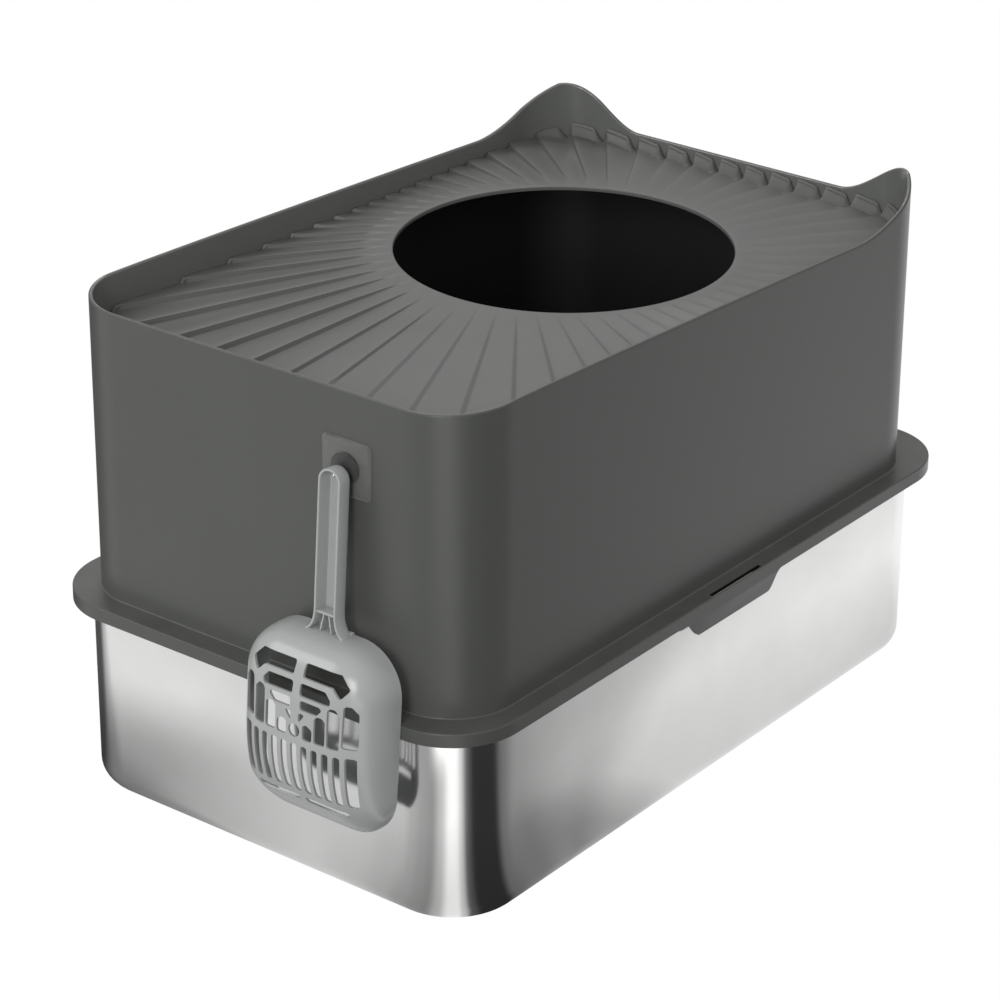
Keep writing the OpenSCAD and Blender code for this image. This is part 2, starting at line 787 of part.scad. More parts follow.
module handle() {
  rib_v = handle_len - cross_rib_up;
  difference() {
    handle_solid(0);
    difference() {
      handle_solid(scoop_t);
      translate([-handle_w, -rib_v - scoop_t / 2, 0])
        cube([2 * handle_w, scoop_t, handle_depth]);
      for (s = [-1, 1])
        translate([s * scoop_t, -rib_v, 0])
          rotate(s * thin_rib_slant)
            translate([-scoop_t / 4, -handle_len + rib_v, 0])
              cube([scoop_t / 2, handle_len - rib_v, handle_depth]);
    }
    translate([0, -hang_v, -cut])
      cylinder(d = hang_d, h = scoop_t + 2 * cut);
  }
}

// A pair of slots between two distances from the middle line, from v0 to v1
// down the scoop, with their outer ends slanted by the given amount.
module slot_pair(u0, u1, v0, v1, slant = 0) {
  for (s = [-1, 1])
    polygon([[s * u0, -v0], [s * (u1 - slant), -v0], [s * u1, -v0 - (v1 - v0) / 2],
      [s * (u1 - slant / 2), -v1], [s * u0, -v1]]);
}

// The first row's pair, which bends down at its outer ends.
module bent_pair(u0, u1, v0, h, arm) {
  run = arm / sqrt(2);
  side = h / sqrt(2);
  for (s = [-1, 1])
    polygon([[s * u0, -v0], [s * u1, -v0], [s * (u1 + run), -v0 - run],
      [s * (u1 + run - side), -v0 - run - side], [s * (u1 - h * tan(22.5)), -v0 - h],
      [s * u0, -v0 - h]]);
}

// A pair of upright slots with their outer top corners cut.
module column_pair(u0, u1, v0, v1) {
  for (s = [-1, 1])
    polygon([[s * u0, -v0], [s * (u1 - column_slant), -v0], [s * u1, -v0 - column_slant],
      [s * u1, -v1], [s * u0, -v1]]);
}

// The slots in the basket's floor, in plan.
module floor_slots() {
  row_reach = [row_reach_1, row_reach_2, row_reach_3, row_reach_4];
  first_v = handle_len + row_start;
  low = handle_len + column_end;
  bent_pair(slot_mid_gap, row_reach_1, first_v, row_h, row_arm);
  for (i = [1:3]) {
    row_v = first_v + i * (row_h + row_gap)
      - row_h_less * i * (i - 1) / 2 - row_gap_less * i * (i - 1) / 2;
    slot_pair(slot_mid_gap, row_reach[i], row_v, row_v + row_h - i * row_h_less, row_slant / i);
  }
  for (i = [0:3]) {
    column_u = column_first + i * column_pitch;
    column_top = low - column_h - i * column_h_more + (i == 3 ? column_edge_less : 0);
    column_pair(column_u, column_u + column_w, column_top, low);
  }
  translate([0, -(handle_len + column_end - centre_hole_up)])
    circle(r = centre_hole_r);
  comb_v = handle_len + column_end + comb_gap;
  comb_half = (comb_count - 1) / 2;
  for (i = [-comb_half:comb_half])
    translate([i * comb_pitch - comb_w / 2, -(comb_v + comb_len)])
      square([comb_w, comb_len]);
  wide_u = (comb_half + 1) * comb_pitch - comb_w / 2;
  slot_pair(wide_u, wide_u + comb_end_w, comb_v + comb_w, comb_v + comb_len - 2 * comb_w);
  lip_v = comb_v + comb_len + lip_gap;
  slot_pair(slot_mid_gap, lip_slot_reach, lip_v, lip_v + lip_slot_h);
}

module scoop() {
  color("lightgray")
    on_scoop() {
      difference() {
        basket_solid(0);
        basket_solid(scoop_t);
        translate([0, 0, cut])
          linear_extrude(scoop_depth)
            floor_slots();
      }
      handle();
    }
}

litter_pan();
hood();
entry_lid();
near_snap_tab();
far_snap_tab();
hook_adhesive();
hook_plate();
hook_boss();
hook_peg();
scoop();
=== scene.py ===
import bpy
import bmesh
import math
from mathutils import Matrix, Vector


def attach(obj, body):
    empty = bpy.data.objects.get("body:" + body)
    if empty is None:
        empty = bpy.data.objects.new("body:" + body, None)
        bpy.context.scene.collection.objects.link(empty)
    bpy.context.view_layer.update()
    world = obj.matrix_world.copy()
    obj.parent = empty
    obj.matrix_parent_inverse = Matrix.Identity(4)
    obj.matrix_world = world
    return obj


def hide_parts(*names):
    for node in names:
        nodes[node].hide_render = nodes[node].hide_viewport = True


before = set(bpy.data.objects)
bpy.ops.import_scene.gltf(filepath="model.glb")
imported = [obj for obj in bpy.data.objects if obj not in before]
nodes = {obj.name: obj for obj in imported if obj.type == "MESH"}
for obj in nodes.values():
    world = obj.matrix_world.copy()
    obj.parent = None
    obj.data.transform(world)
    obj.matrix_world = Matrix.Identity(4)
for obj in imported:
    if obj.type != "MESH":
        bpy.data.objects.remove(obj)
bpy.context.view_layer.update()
mm = 0.001
scene = bpy.context.scene
print("frame loaded:", len(nodes), "solids")


# node tree helpers

floatKind, vectorKind = "NodeSocketFloat", "NodeSocketVector"


def addNode(tree, kind, **settings):
    node = tree.nodes.new(kind)
    for key, value in settings.items():
        setattr(node, key, value)
    return node


def plug(tree, socket, value):
    # a socket is linked, anything else is written on the input
    if isinstance(value, bpy.types.NodeSocket):
        tree.links.new(value, socket)
    elif value is not None:
        socket.default_value = value


def feedNode(tree, kind, inputs, **settings):
    # a new node with some of its inputs, by name, written or linked
    node = addNode(tree, kind, **settings)
    for name, value in inputs.items():
        plug(tree, node.inputs[name], value)
    return node


def mathNode(tree, operation, a, b=None, c=None, clamp=False):
    node = addNode(tree, "ShaderNodeMath", operation=operation, use_clamp=clamp)
    for socket, value in zip(node.inputs, (a, b, c)):
        plug(tree, socket, value)
    return node.outputs[0]


def rangeNode(tree, value, low, high, toLow=0.0, toHigh=1.0, kind="LINEAR"):
    ends = {"Value": value, "From Min": low, "From Max": high, "To Min": toLow, "To Max": toHigh}
    return feedNode(tree, "ShaderNodeMapRange", ends, interpolation_type=kind).outputs["Result"]


def splitXyz(tree, vector):
    return feedNode(tree, "ShaderNodeSeparateXYZ", {"Vector": vector}).outputs


def joinXyz(tree, x, y, z):
    return feedNode(tree, "ShaderNodeCombineXYZ", {"X": x, "Y": y, "Z": z}).outputs[0]


def scaleVector(tree, vector, scale):
    return feedNode(tree, "ShaderNodeVectorMath", {"Vector": vector, "Scale": scale}, operation="SCALE").outputs[0]


def noiseNode(tree, vector, scale, detail=3.0, rough=0.5):
    inputs = {"Vector": vector, "Scale": scale, "Detail": detail, "Roughness": rough}
    return feedNode(tree, "ShaderNodeTexNoise", inputs).outputs["Fac"]


def mixColour(tree, share, a, b):
    return feedNode(tree, "ShaderNodeMix", {"Factor": share, "A": a, "B": b}, data_type="RGBA").outputs["Result"]


def newGroup(name, ins, outs):
    # the group, its vector input and other inputs, and its output node
    group = bpy.data.node_groups.new(name, "ShaderNodeTree")
    group.interface.new_socket("Vector", in_out="INPUT", socket_type=vectorKind)
    for label, value in ins.items():
        group.interface.new_socket(label, in_out="INPUT", socket_type=floatKind).default_value = value
    for label in outs:
        group.interface.new_socket(label, in_out="OUTPUT", socket_type=floatKind)
    given = addNode(group, "NodeGroupInput").outputs
    return group, given, addNode(group, "NodeGroupOutput").inputs


def placeGroup(tree, group, **values):
    return feedNode(tree, "ShaderNodeGroup", values, node_tree=group).outputs


# effects that several materials share

def makeGrainGroup():
    # moulded grain: fine pits, a slow mottle, and their height
    group, given, out = newGroup("mouldedGrain", {"Scale": 900.0, "Mottle": 0.05}, ["Height", "Mottle"])
    fine = noiseNode(group, given["Vector"], given["Scale"], 2.0, 0.6)
    coarse = noiseNode(group, given["Vector"], mathNode(group, "MULTIPLY", given["Scale"], 0.27), 1.0)
    slow = noiseNode(group, given["Vector"], 9.0, 4.0, 0.62)
    plug(group, out["Height"], mathNode(group, "MULTIPLY_ADD", coarse, 0.6, fine))
    centred = mathNode(group, "SUBTRACT", slow, 0.5)
    plug(group, out["Mottle"], mathNode(group, "MULTIPLY_ADD", centred, given["Mottle"], 1.0))
    return group


def makeWearGroup():
    # pale rubbed edges, from the surface's own pointiness
    group, given, out = newGroup("rubbedEdges", {"Start": 0.53, "End": 0.62}, ["Wear"])
    geometry = addNode(group, "ShaderNodeNewGeometry")
    edge = rangeNode(group, geometry.outputs["Pointiness"], given["Start"], given["End"])
    broken = rangeNode(group, noiseNode(group, given["Vector"], 60.0, 4.0, 0.6), 0.35, 0.65)
    plug(group, out["Wear"], mathNode(group, "MULTIPLY", edge, broken))
    return group


def makeDustGroup():
    # a thin, patchy film on faces that look up
    group, given, out = newGroup("settledDust", {"Amount": 0.1}, ["Dust"])
    geometry = addNode(group, "ShaderNodeNewGeometry")
    facing = rangeNode(group, splitXyz(group, geometry.outputs["Normal"])["Z"], 0.35, 1.0)
    patchy = rangeNode(group, noiseNode(group, given["Vector"], 26.0, 5.0, 0.65), 0.3, 0.75)
    plug(group, out["Dust"], mathNode(group, "MULTIPLY", mathNode(group, "MULTIPLY", facing, patchy), given["Amount"]))
    return group


def makeSmudgeGroup():
    # finger marks and wiping: slow rough patches, and long fine streaks along one way
    group, given, out = newGroup("wipedMetal", {"Streak": 1.0}, ["Smudge", "Streaks"])
    slow = rangeNode(group, noiseNode(group, given["Vector"], 11.0, 5.0, 0.6), 0.35, 0.75)
    place = splitXyz(group, given["Vector"])
    across = mathNode(group, "MULTIPLY", mathNode(group, "ADD", place["X"], place["Y"]), 6.0)
    stretched = joinXyz(group, across, 0.0, mathNode(group, "MULTIPLY", place["Z"], 1500.0))
    plug(group, out["Smudge"], slow)
    streaks = noiseNode(group, stretched, 1.0, 3.0, 0.7)
    plug(group, out["Streaks"], mathNode(group, "MULTIPLY", streaks, given["Streak"]))
    return group


grainGroup = makeGrainGroup()
wearGroup = makeWearGroup()
dustGroup = makeDustGroup()
smudgeGroup = makeSmudgeGroup()


# materials

looks = {"dustTint": (0.42, 0.41, 0.39, 1), "plasticIor": 1.46, "clearIor": 1.49,
         "grainHeight": 0.0004, "streakHeight": 0.0002}


def startMaterial(name):
    material = bpy.data.materials.new(name)
    material.use_nodes = True
    tree = material.node_tree
    tree.nodes.clear()
    shader = addNode(tree, "ShaderNodeBsdfPrincipled")
    out = addNode(tree, "ShaderNodeOutputMaterial")
    plug(tree, out.inputs["Surface"], shader.outputs["BSDF"])
    place = addNode(tree, "ShaderNodeTexCoord").outputs["Object"]
    return material, tree, shader.inputs, place


def setBump(tree, shader, height, strength, distance):
    bump = feedNode(tree, "ShaderNodeBump", {"Strength": strength, "Distance": distance, "Height": height})
    plug(tree, shader["Normal"], bump.outputs["Normal"])


def makePlastic(name, colour, pale, rough, grainScale=1100.0, bump=0.1, wear=0.35, dust=0.08, mottle=0.16, shine=0.36):
    material, tree, shader, place = startMaterial(name)
    grain = placeGroup(tree, grainGroup, Vector=place, Scale=grainScale, Mottle=mottle)
    rubbed = mathNode(tree, "MULTIPLY", placeGroup(tree, wearGroup, Vector=place)["Wear"], wear)
    dusty = placeGroup(tree, dustGroup, Vector=place, Amount=dust)["Dust"]
    worn = mixColour(tree, rubbed, scaleVector(tree, colour, grain["Mottle"]), (*pale, 1))
    plug(tree, shader["Base Color"], mixColour(tree, dusty, worn, looks["dustTint"]))
    roughness = mathNode(tree, "MULTIPLY_ADD", grain["Mottle"], 0.25, rough - 0.25)
    plug(tree, shader["Roughness"], mathNode(tree, "MULTIPLY_ADD", dusty, 0.5, roughness, clamp=True))
    shader["IOR"].default_value = looks["plasticIor"]
    shader["Specular IOR Level"].default_value = shine
    setBump(tree, shader, grain["Height"], bump, looks["grainHeight"])
    return material


def makeSteel(name, clean, smudged, rough, smudgeRough, streak, streakRough=0.0):
    material, tree, shader, place = startMaterial(name)
    wiped = placeGroup(tree, smudgeGroup, Vector=place, Streak=streak)
    plug(tree, shader["Base Color"], mixColour(tree, wiped["Smudge"], (*clean, 1), (*smudged, 1)))
    shader["Metallic"].default_value = 1.0
    roughness = mathNode(tree, "MULTIPLY_ADD", wiped["Smudge"], smudgeRough, rough)
    if streakRough:
        roughness = mathNode(tree, "MULTIPLY_ADD", wiped["Streaks"], streakRough, roughness)
        setBump(tree, shader, wiped["Streaks"], 0.03, looks["streakHeight"])
    plug(tree, shader["Roughness"], roughness)
    return material


def makeThinClear(name, tint, middle, edge, rough):
    # a thin clear sheet: see-through face on; its tint is a painted reflection, which shows more where the sheet is
    # seen edge on
    material, tree, shader, place = startMaterial(name)
    grain = placeGroup(tree, grainGroup, Vector=place, Scale=420.0, Mottle=0.1)
    wiped = placeGroup(tree, smudgeGroup, Vector=place, Streak=0.5)
    plug(tree, shader["Base Color"], scaleVector(tree, tint, grain["Mottle"]))
    facing = feedNode(tree, "ShaderNodeLayerWeight", {"Blend": 0.35})
    plug(tree, shader["Alpha"], rangeNode(tree, facing.outputs["Facing"], 0.1, 0.85, middle, edge))
    plug(tree, shader["Roughness"], mathNode(tree, "MULTIPLY_ADD", wiped["Smudge"], 0.1, rough))
    shader["IOR"].default_value = looks["clearIor"]
    setBump(tree, shader, grain["Height"], 0.02, looks["grainHeight"])
    return material


hoodPlastic = makePlastic("hoodPlastic", (0.084, 0.0875, 0.082), (0.125, 0.13, 0.125), 0.34)
# the inner band above the ledge: the hood's plastic painted lighter and glossier, a painted sheen
hoodRimPaintedSheen = makePlastic("hoodRimPaintedSheen", (0.124, 0.129, 0.122), (0.16, 0.165, 0.16), 0.22, shine=0.9)
# the hood's inside below the ledge, painted near black as shade
hoodInsidePaintedShade = makePlastic("hoodInsidePaintedShade", (0.022, 0.023, 0.022), (0.03, 0.03, 0.03), 0.5, wear=0.0, dust=0.0)
# near black in the tab slots, painted shade
slotShade = makePlastic("slotShade", (0.004, 0.004, 0.004), (0.01, 0.01, 0.01), 0.7, bump=0.05, wear=0.0, dust=0.0)
# the lid is the hood's plastic, painted lighter for the light that falls on its top
lidPlasticPaintedLighter = makePlastic("lidPlasticPaintedLighter", (0.111, 0.114, 0.109), (0.165, 0.168, 0.162), 0.38, dust=0.04, shine=0.32)
scoopPlastic = makePlastic("scoopPlastic", (0.385, 0.40, 0.393), (0.52, 0.53, 0.52), 0.22,
                           grainScale=1500.0, bump=0.05, wear=0.3, dust=0.03, mottle=0.1, shine=0.5)
panSteel = makeSteel("panSteel", (0.70, 0.70, 0.695), (0.65, 0.65, 0.645), 0.11, 0.04, 1.0, streakRough=0.06)
pegSteel = makeSteel("pegSteel", (0.78, 0.78, 0.77), (0.6, 0.6, 0.59), 0.12, 0.1, 0.6)
clearPlastic = makeThinClear("clearPlastic", (0.42, 0.42, 0.41), 0.015, 0.6, 0.07)
# the clear boss, tinted near black: painted shade on a clear part
clearBossPaintedShade = makeThinClear("clearBossPaintedShade", (0.05, 0.051, 0.05), 0.06, 0.62, 0.05)
stickyFilm = makeThinClear("stickyFilm", (0.16, 0.165, 0.16), 0.015, 0.1, 0.3)
print("materials made")


# mesh helpers

def newObject(name, data):
    made = bpy.data.objects.new(name, data)
    scene.collection.objects.link(made)
    return made


def openMesh(mesh):
    work = bmesh.new()
    work.from_mesh(mesh)
    return work


def closeMesh(work, mesh):
    work.to_mesh(mesh)
    work.free()


def paint(mesh, *materials):
    mesh.materials.clear()
    for material in materials:
        mesh.materials.append(material)


def register(piece, body, replaced):
    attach(piece, body)
    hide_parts(replaced)


def shadeSoft(mesh, angle):
    mesh.shade_smooth()
    mesh.set_sharp_from_angle(angle=math.radians(angle))


def turned(radius, degrees):
    return radius * math.cos(math.radians(degrees)), radius * math.sin(math.radians(degrees))


def roundOutline(length, width, radius, midX, longSteps, shortSteps, cornerSteps):
    # points and outward normals, anticlockwise from the middle of the +X side
    halfX, halfY = length / 2 - radius, width / 2 - radius
    found = []

    def straight(p, q, normal, steps):
        for i in range(steps):
            t = i / steps
            found.append((p[0] + (q[0] - p[0]) * t, p[1] + (q[1] - p[1]) * t, *normal))

    def corner(cx, cy, start):
        for i in range(cornerSteps):
            nx, ny = turned(1, start + 90 * i / cornerSteps)
            found.append((cx + radius * nx, cy + radius * ny, nx, ny))

    straight((halfX + radius, -halfY), (halfX + radius, halfY), (1, 0), shortSteps)
    corner(halfX, halfY, 0)
    straight((halfX, halfY + radius), (-halfX, halfY + radius), (0, 1), longSteps)
    corner(-halfX, halfY, 90)
    straight((-halfX - radius, halfY), (-halfX - radius, -halfY), (-1, 0), shortSteps)
    corner(-halfX, -halfY, 180)
    straight((-halfX, -halfY - radius), (halfX, -halfY - radius), (0, -1), longSteps)
    corner(halfX, -halfY, 270)
    return [(x + midX, y, nx, ny) for x, y, nx, ny in found]


def arc(cx, cz, radius, start, end, steps):
    # (out, up) points of an arc in a section
    found = []
    for i in range(steps + 1):
        out, up = turned(radius, start + (end - start) * i / steps)
        found.append((cx + out, cz + up))
    return found


def ringFaces(a, b, count):
    # quads between ring a and ring b, each of count points
    for i in range(count):
        j = (i + 1) % count
        yield a * count + i, a * count + j, b * count + j, b * count + i


def fixNormals(mesh):
    work = openMesh(mesh)
    bmesh.ops.remove_doubles(work, verts=work.verts, dist=1e-6)
    bmesh.ops.recalc_face_normals(work, faces=work.faces)
    closeMesh(work, mesh)


def loftRings(name, rings, closed):
    # each ring is a list of points of equal count; faces join one ring to the next
    mesh = bpy.data.meshes.new(name)
    count, last = len(rings[0]), len(rings) - 1
    faces = [face for k in range(last) for face in ringFaces(k, k + 1, count)]
    if closed:
        faces += ringFaces(last, 0, count)
    else:
        faces.append(tuple(reversed(range(count))))
        faces.append(tuple(last * count + i for i in range(count)))
    mesh.from_pydata([Vector(p) * mm for ring in rings for p in ring], [], faces)
    mesh.validate()
    fixNormals(mesh)
    return mesh


def finishModifiers(piece):
    # the evaluated mesh takes the place of the piece's own, and its modifiers go
    bpy.context.view_layer.update()
    evaluated = piece.evaluated_get(bpy.context.evaluated_depsgraph_get())
    mesh = bpy.data.meshes.new_from_object(evaluated)
    piece.modifiers.clear()
    piece.data = mesh
    return mesh


def addBoolean(piece, other, operation, solver):
    step = piece.modifiers.new("boolean", "BOOLEAN")
    step.operation = operation
    step.object = other
    step.solver = solver


def cutAway(piece, work, solver):
    # takes what work holds out of the piece
    mesh = bpy.data.meshes.new("knife")
    closeMesh(work, mesh)
    knife = newObject("knife", mesh)
    addBoolean(piece, knife, "DIFFERENCE", solver)
    finishModifiers(piece)
    bpy.data.objects.remove(knife)


# steel pan, in mm

panDims = {"length": 570, "width": 360, "cornerR": 52.5, "height": 151.9,
           "edgeR": 16, "sheet": 0.8, "rollD": 6, "midWall": 60}


def makePan(d):
    outline = roundOutline(d["length"], d["width"], d["cornerR"], 0, 24, 16, 32)
    sheet, edge, rollR = d["sheet"], d["edgeR"], d["rollD"] / 2
    rollX, rollZ = rollR - sheet, d["height"] - rollR
    section = arc(-edge, edge, edge, -90, 0, 12)
    section += [(0, d["midWall"]), (0, rollZ - rollR * 0.9)]
    section += arc(rollX, rollZ, rollR, -150, 180, 26)
    section += [(-sheet, d["midWall"])]
    section += arc(-edge, edge, edge - sheet, 0, -90, 12)
    rings = [[(x + nx * out, y + ny * out, up) for x, y, nx, ny in outline] for out, up in section]
    mesh = loftRings("litterPan", rings, False)
    shadeSoft(mesh, 50)
    paint(mesh, panSteel)
    register(newObject("litterPan", mesh), "pan", "litter_pan")


makePan(panDims)
print("pan made")


# hood, in mm

hoodDims = {"length": 556, "width": 349.4, "cornerR": 49, "midX": -2, "wall": 3, "foot": 134.7, "footR": 0.6,
            "collarLength": 600, "collarWidth": 378.8, "collarR": 54, "collarMidX": 3, "collarT": 2.5,
            "collarTop": 154.7, "collarLow": 144.7, "skirtInR": 0.5, "skirtOutR": 0.12, "fillet": 1.0, "edgeR": 0.9,
            "ledgeTop": 327.7, "ledgeT": 2.5, "ledgeW": 8, "ledgeR": 0.5, "lipR": 1.3,
            "slotX": (-18, 42), "slotY": (185.2, 188.5), "slotFloor": 149.7}
# the rim's heights above the collar, and the places along x where they hold
rimDims = {"endX": -231, "earsX": 178, "fullX": 262, "end": 218.3, "middle": 198.9, "ear": 226,
           "endDrop": 2, "endRun": 49, "fallPower": 1.12, "climbPower": 1.9,
           "dip": 195.7, "dipHalf": 92, "earSlope": 65}


def easeStep(t):
    t = min(max(t, 0), 1)
    return t * t * (3 - 2 * t)


def rimHeight(d, x, y):
    # falls from the end with the scoop to the ears, then climbs into the two ears with a dip between them
    if x < d["endX"]:
        high = d["end"] - d["endDrop"] * ((d["endX"] - x) / d["endRun"]) ** 2
    elif x < d["earsX"]:
        along = (x - d["endX"]) / (d["earsX"] - d["endX"])
        high = d["end"] - (d["end"] - d["middle"]) * along ** d["fallPower"]
    elif x < d["fullX"]:
        along = (x - d["earsX"]) / (d["fullX"] - d["earsX"])
        high = d["middle"] + (d["ear"] - d["middle"]) * along ** d["climbPower"]
    else:
        high = d["ear"]
    if x > d["earsX"]:
        aside = easeStep((abs(y) - d["dipHalf"]) / d["earSlope"])
        high = min(high, d["dip"] + (d["ear"] - d["dip"]) * aside)
    return high


def makeHoodRings(d):
    wall = roundOutline(d["length"], d["width"], d["cornerR"], d["midX"], 150, 96, 32)
    collar = roundOutline(d["collarLength"], d["collarWidth"], d["collarR"], d["collarMidX"], 150, 96, 32)
    top, low, t, lipR, collarT = d["collarTop"], d["collarLow"], d["wall"], d["lipR"], d["collarT"]
    edgeR, fillet, footR, skirtR, tipR = d["edgeR"], d["fillet"], d["footR"], d["skirtInR"], d["skirtOutR"]
    ledgeIn, ledgeR, ledgeTop, ledgeLow = -t - d["ledgeW"], d["ledgeR"], d["ledgeTop"], d["ledgeTop"] - d["ledgeT"]
    rims = [top + rimHeight(rimDims, x, y) for x, y, nx, ny in wall]
    rings = []

    def follow(outline, section):
        for out, up in section:
            rings.append([(x + nx * out, y + ny * out, up) for x, y, nx, ny in outline])

    def followRim(section):
        for out, up in section:
            rings.append([(x + nx * out, y + ny * out, r + up) for (x, y, nx, ny), r in zip(wall, rims)])

    # outside, from the foot of the drip skirt to the rim; single rings beside an arc hold its shading in
    follow(wall, arc(-footR, d["foot"] + footR, footR, -90, 0, 3) + [(0, top - collarT)])
    follow(collar, [(-collarT, top - collarT)])
    follow(collar, arc(-collarT + skirtR, low + skirtR, skirtR, 180, 270, 3))
    follow(collar, arc(-tipR, low + tipR, tipR, 270, 360, 2) + [(0, low + 0.5), (0, top - edgeR - 0.4)])
    follow(collar, arc(-edgeR, top - edgeR, edgeR, 0, 90, 5) + [(-edgeR - 1, top)])
    follow(wall, [(fillet + 1.2, top)] + arc(fillet, top + fillet, fillet, 270, 180, 6) + [(0, top + 8)])
    followRim([(0, -12), (0, -(lipR + 1.2))])
    followRim(arc(-lipR, -lipR, lipR, 0, 90, 5) + arc(-t + lipR, -lipR, lipR, 90, 180, 5))
    # inside, down past the ledge
    followRim([(-t, -(lipR + 1.2))])
    follow(wall, [(-t, ledgeTop + 6), (-t, ledgeTop)])
    follow(wall, arc(ledgeIn + ledgeR, ledgeTop - ledgeR, ledgeR, 90, 180, 3))
    follow(wall, arc(ledgeIn + ledgeR, ledgeLow + ledgeR, ledgeR, 180, 270, 3))
    follow(wall, [(-t, ledgeLow), (-t, ledgeLow - 8), (-t, d["foot"] + 4)])
    follow(wall, arc(-t + footR, d["foot"] + footR, footR, 180, 270, 3))
    return rings


def cutTabSlots(d, piece):
    (lowX, highX), (nearY, farY), deep = d["slotX"], d["slotY"], 20
    work = bmesh.new()
    for side in (-1, 1):
        middle = Vector(((lowX + highX) / 2, side * (nearY + farY) / 2, d["slotFloor"] + deep / 2))
        size = Vector((highX - lowX, farY - nearY, deep))
        bmesh.ops.create_cube(work, size=1, matrix=Matrix.LocRotScale(middle * mm, None, size * mm))
    cutAway(piece, work, "EXACT")


def paintHood(d, mesh):
    # materials by place: 0 outside, 1 in the tab slots, painted near black as shade, 2 inside below the ledge, painted
    # near black as shade, 3 inside above it, painted lighter and glossier as a sheen
    paint(mesh, hoodPlastic, slotShade, hoodInsidePaintedShade, hoodRimPaintedSheen)
    halfX, halfY = d["length"] / 2 - d["wall"] + 0.5, d["width"] / 2 - d["wall"] + 0.5
    (lowX, highX), (nearY, farY) = d["slotX"], d["slotY"]
    for face in mesh.polygons:
        x, y, z = face.center / mm
        inSlot = lowX - 0.1 < x < highX + 0.1 and nearY - 0.1 < abs(y) < farY + 0.1
        inSlot = inSlot and d["slotFloor"] - 0.1 < z < d["collarTop"] - 0.05
        inward = (x - d["midX"]) * face.normal.x + y * face.normal.y < 0
        inside = inward and abs(x - d["midX"]) < halfX and abs(y) < halfY and z > d["foot"] + 0.7
        face.material_index = 1 if inSlot else 0 if not inside else 2 if z < d["ledgeTop"] - 0.1 else 3


def makeHood(d):
    piece = newObject("hoodShell", loftRings("hoodShell", makeHoodRings(d), True))
    cutTabSlots(d, piece)
    shadeSoft(piece.data, 38)
    paintHood(d, piece.data)
    register(piece, "hood", "hood")


makeHood(hoodDims)
print("hood made")


# ribbed lid, a geometry nodes tree whose inputs are these, in metres

lidDims = {"Rib Count": 58, "Hole Radius": 0.1225, "Swirl Radius": 0.032, "Ring Width": 0.004,
           "Hole X": 0.0558, "Mid X": -0.002,
           "Half Length": 0.2747, "Half Width": 0.1714, "Corner Radius": 0.0457, "Lid Height": 0.3465,
           "Front Rise": 0.0015, "Rear Drop": 0.0075, "Rib Step": 0.0034, "Rib Growth": 0.045, "Front Calm": 0.62,
           "Lip Drop": 0.0028, "Lip Round": 0.001, "Edge Round": 0.0012, "Cove Width": 0.006, "Cove Rise": 0.0085,
           "Skirt Drop": 0.0185}
lidSheet = 2.5
# rows of the grid in each part of the section, from the lip of the hole to the foot of the skirt
lidRows = {"lip": 2, "arc": 5, "ring": 2, "surface": 16, "cove": 5, "edge": 4, "skirt": 2}
columnsPerRib = 18
# a rib's section as (way across it, height), then how the ribs grow, flare at the wall and calm down towards a corner
ribProfile = [(0, 0.0), (0.1, 0.05), (0.42, 0.47), (0.72, 0.9), (0.86, 1.0), (0.892, 0.96), (0.942, 0.05), (1, 0.0)]
ribShape = {"growPower": 1.2, "flareSteep": 5.0, "flarePower": 1.3, "flareNear": 0.004, "flareFar": 0.036,
            "flareRest": 0.06, "calmX": -0.79, "calmY": -0.61, "calmStart": 0.72, "calmFull": 0.98}


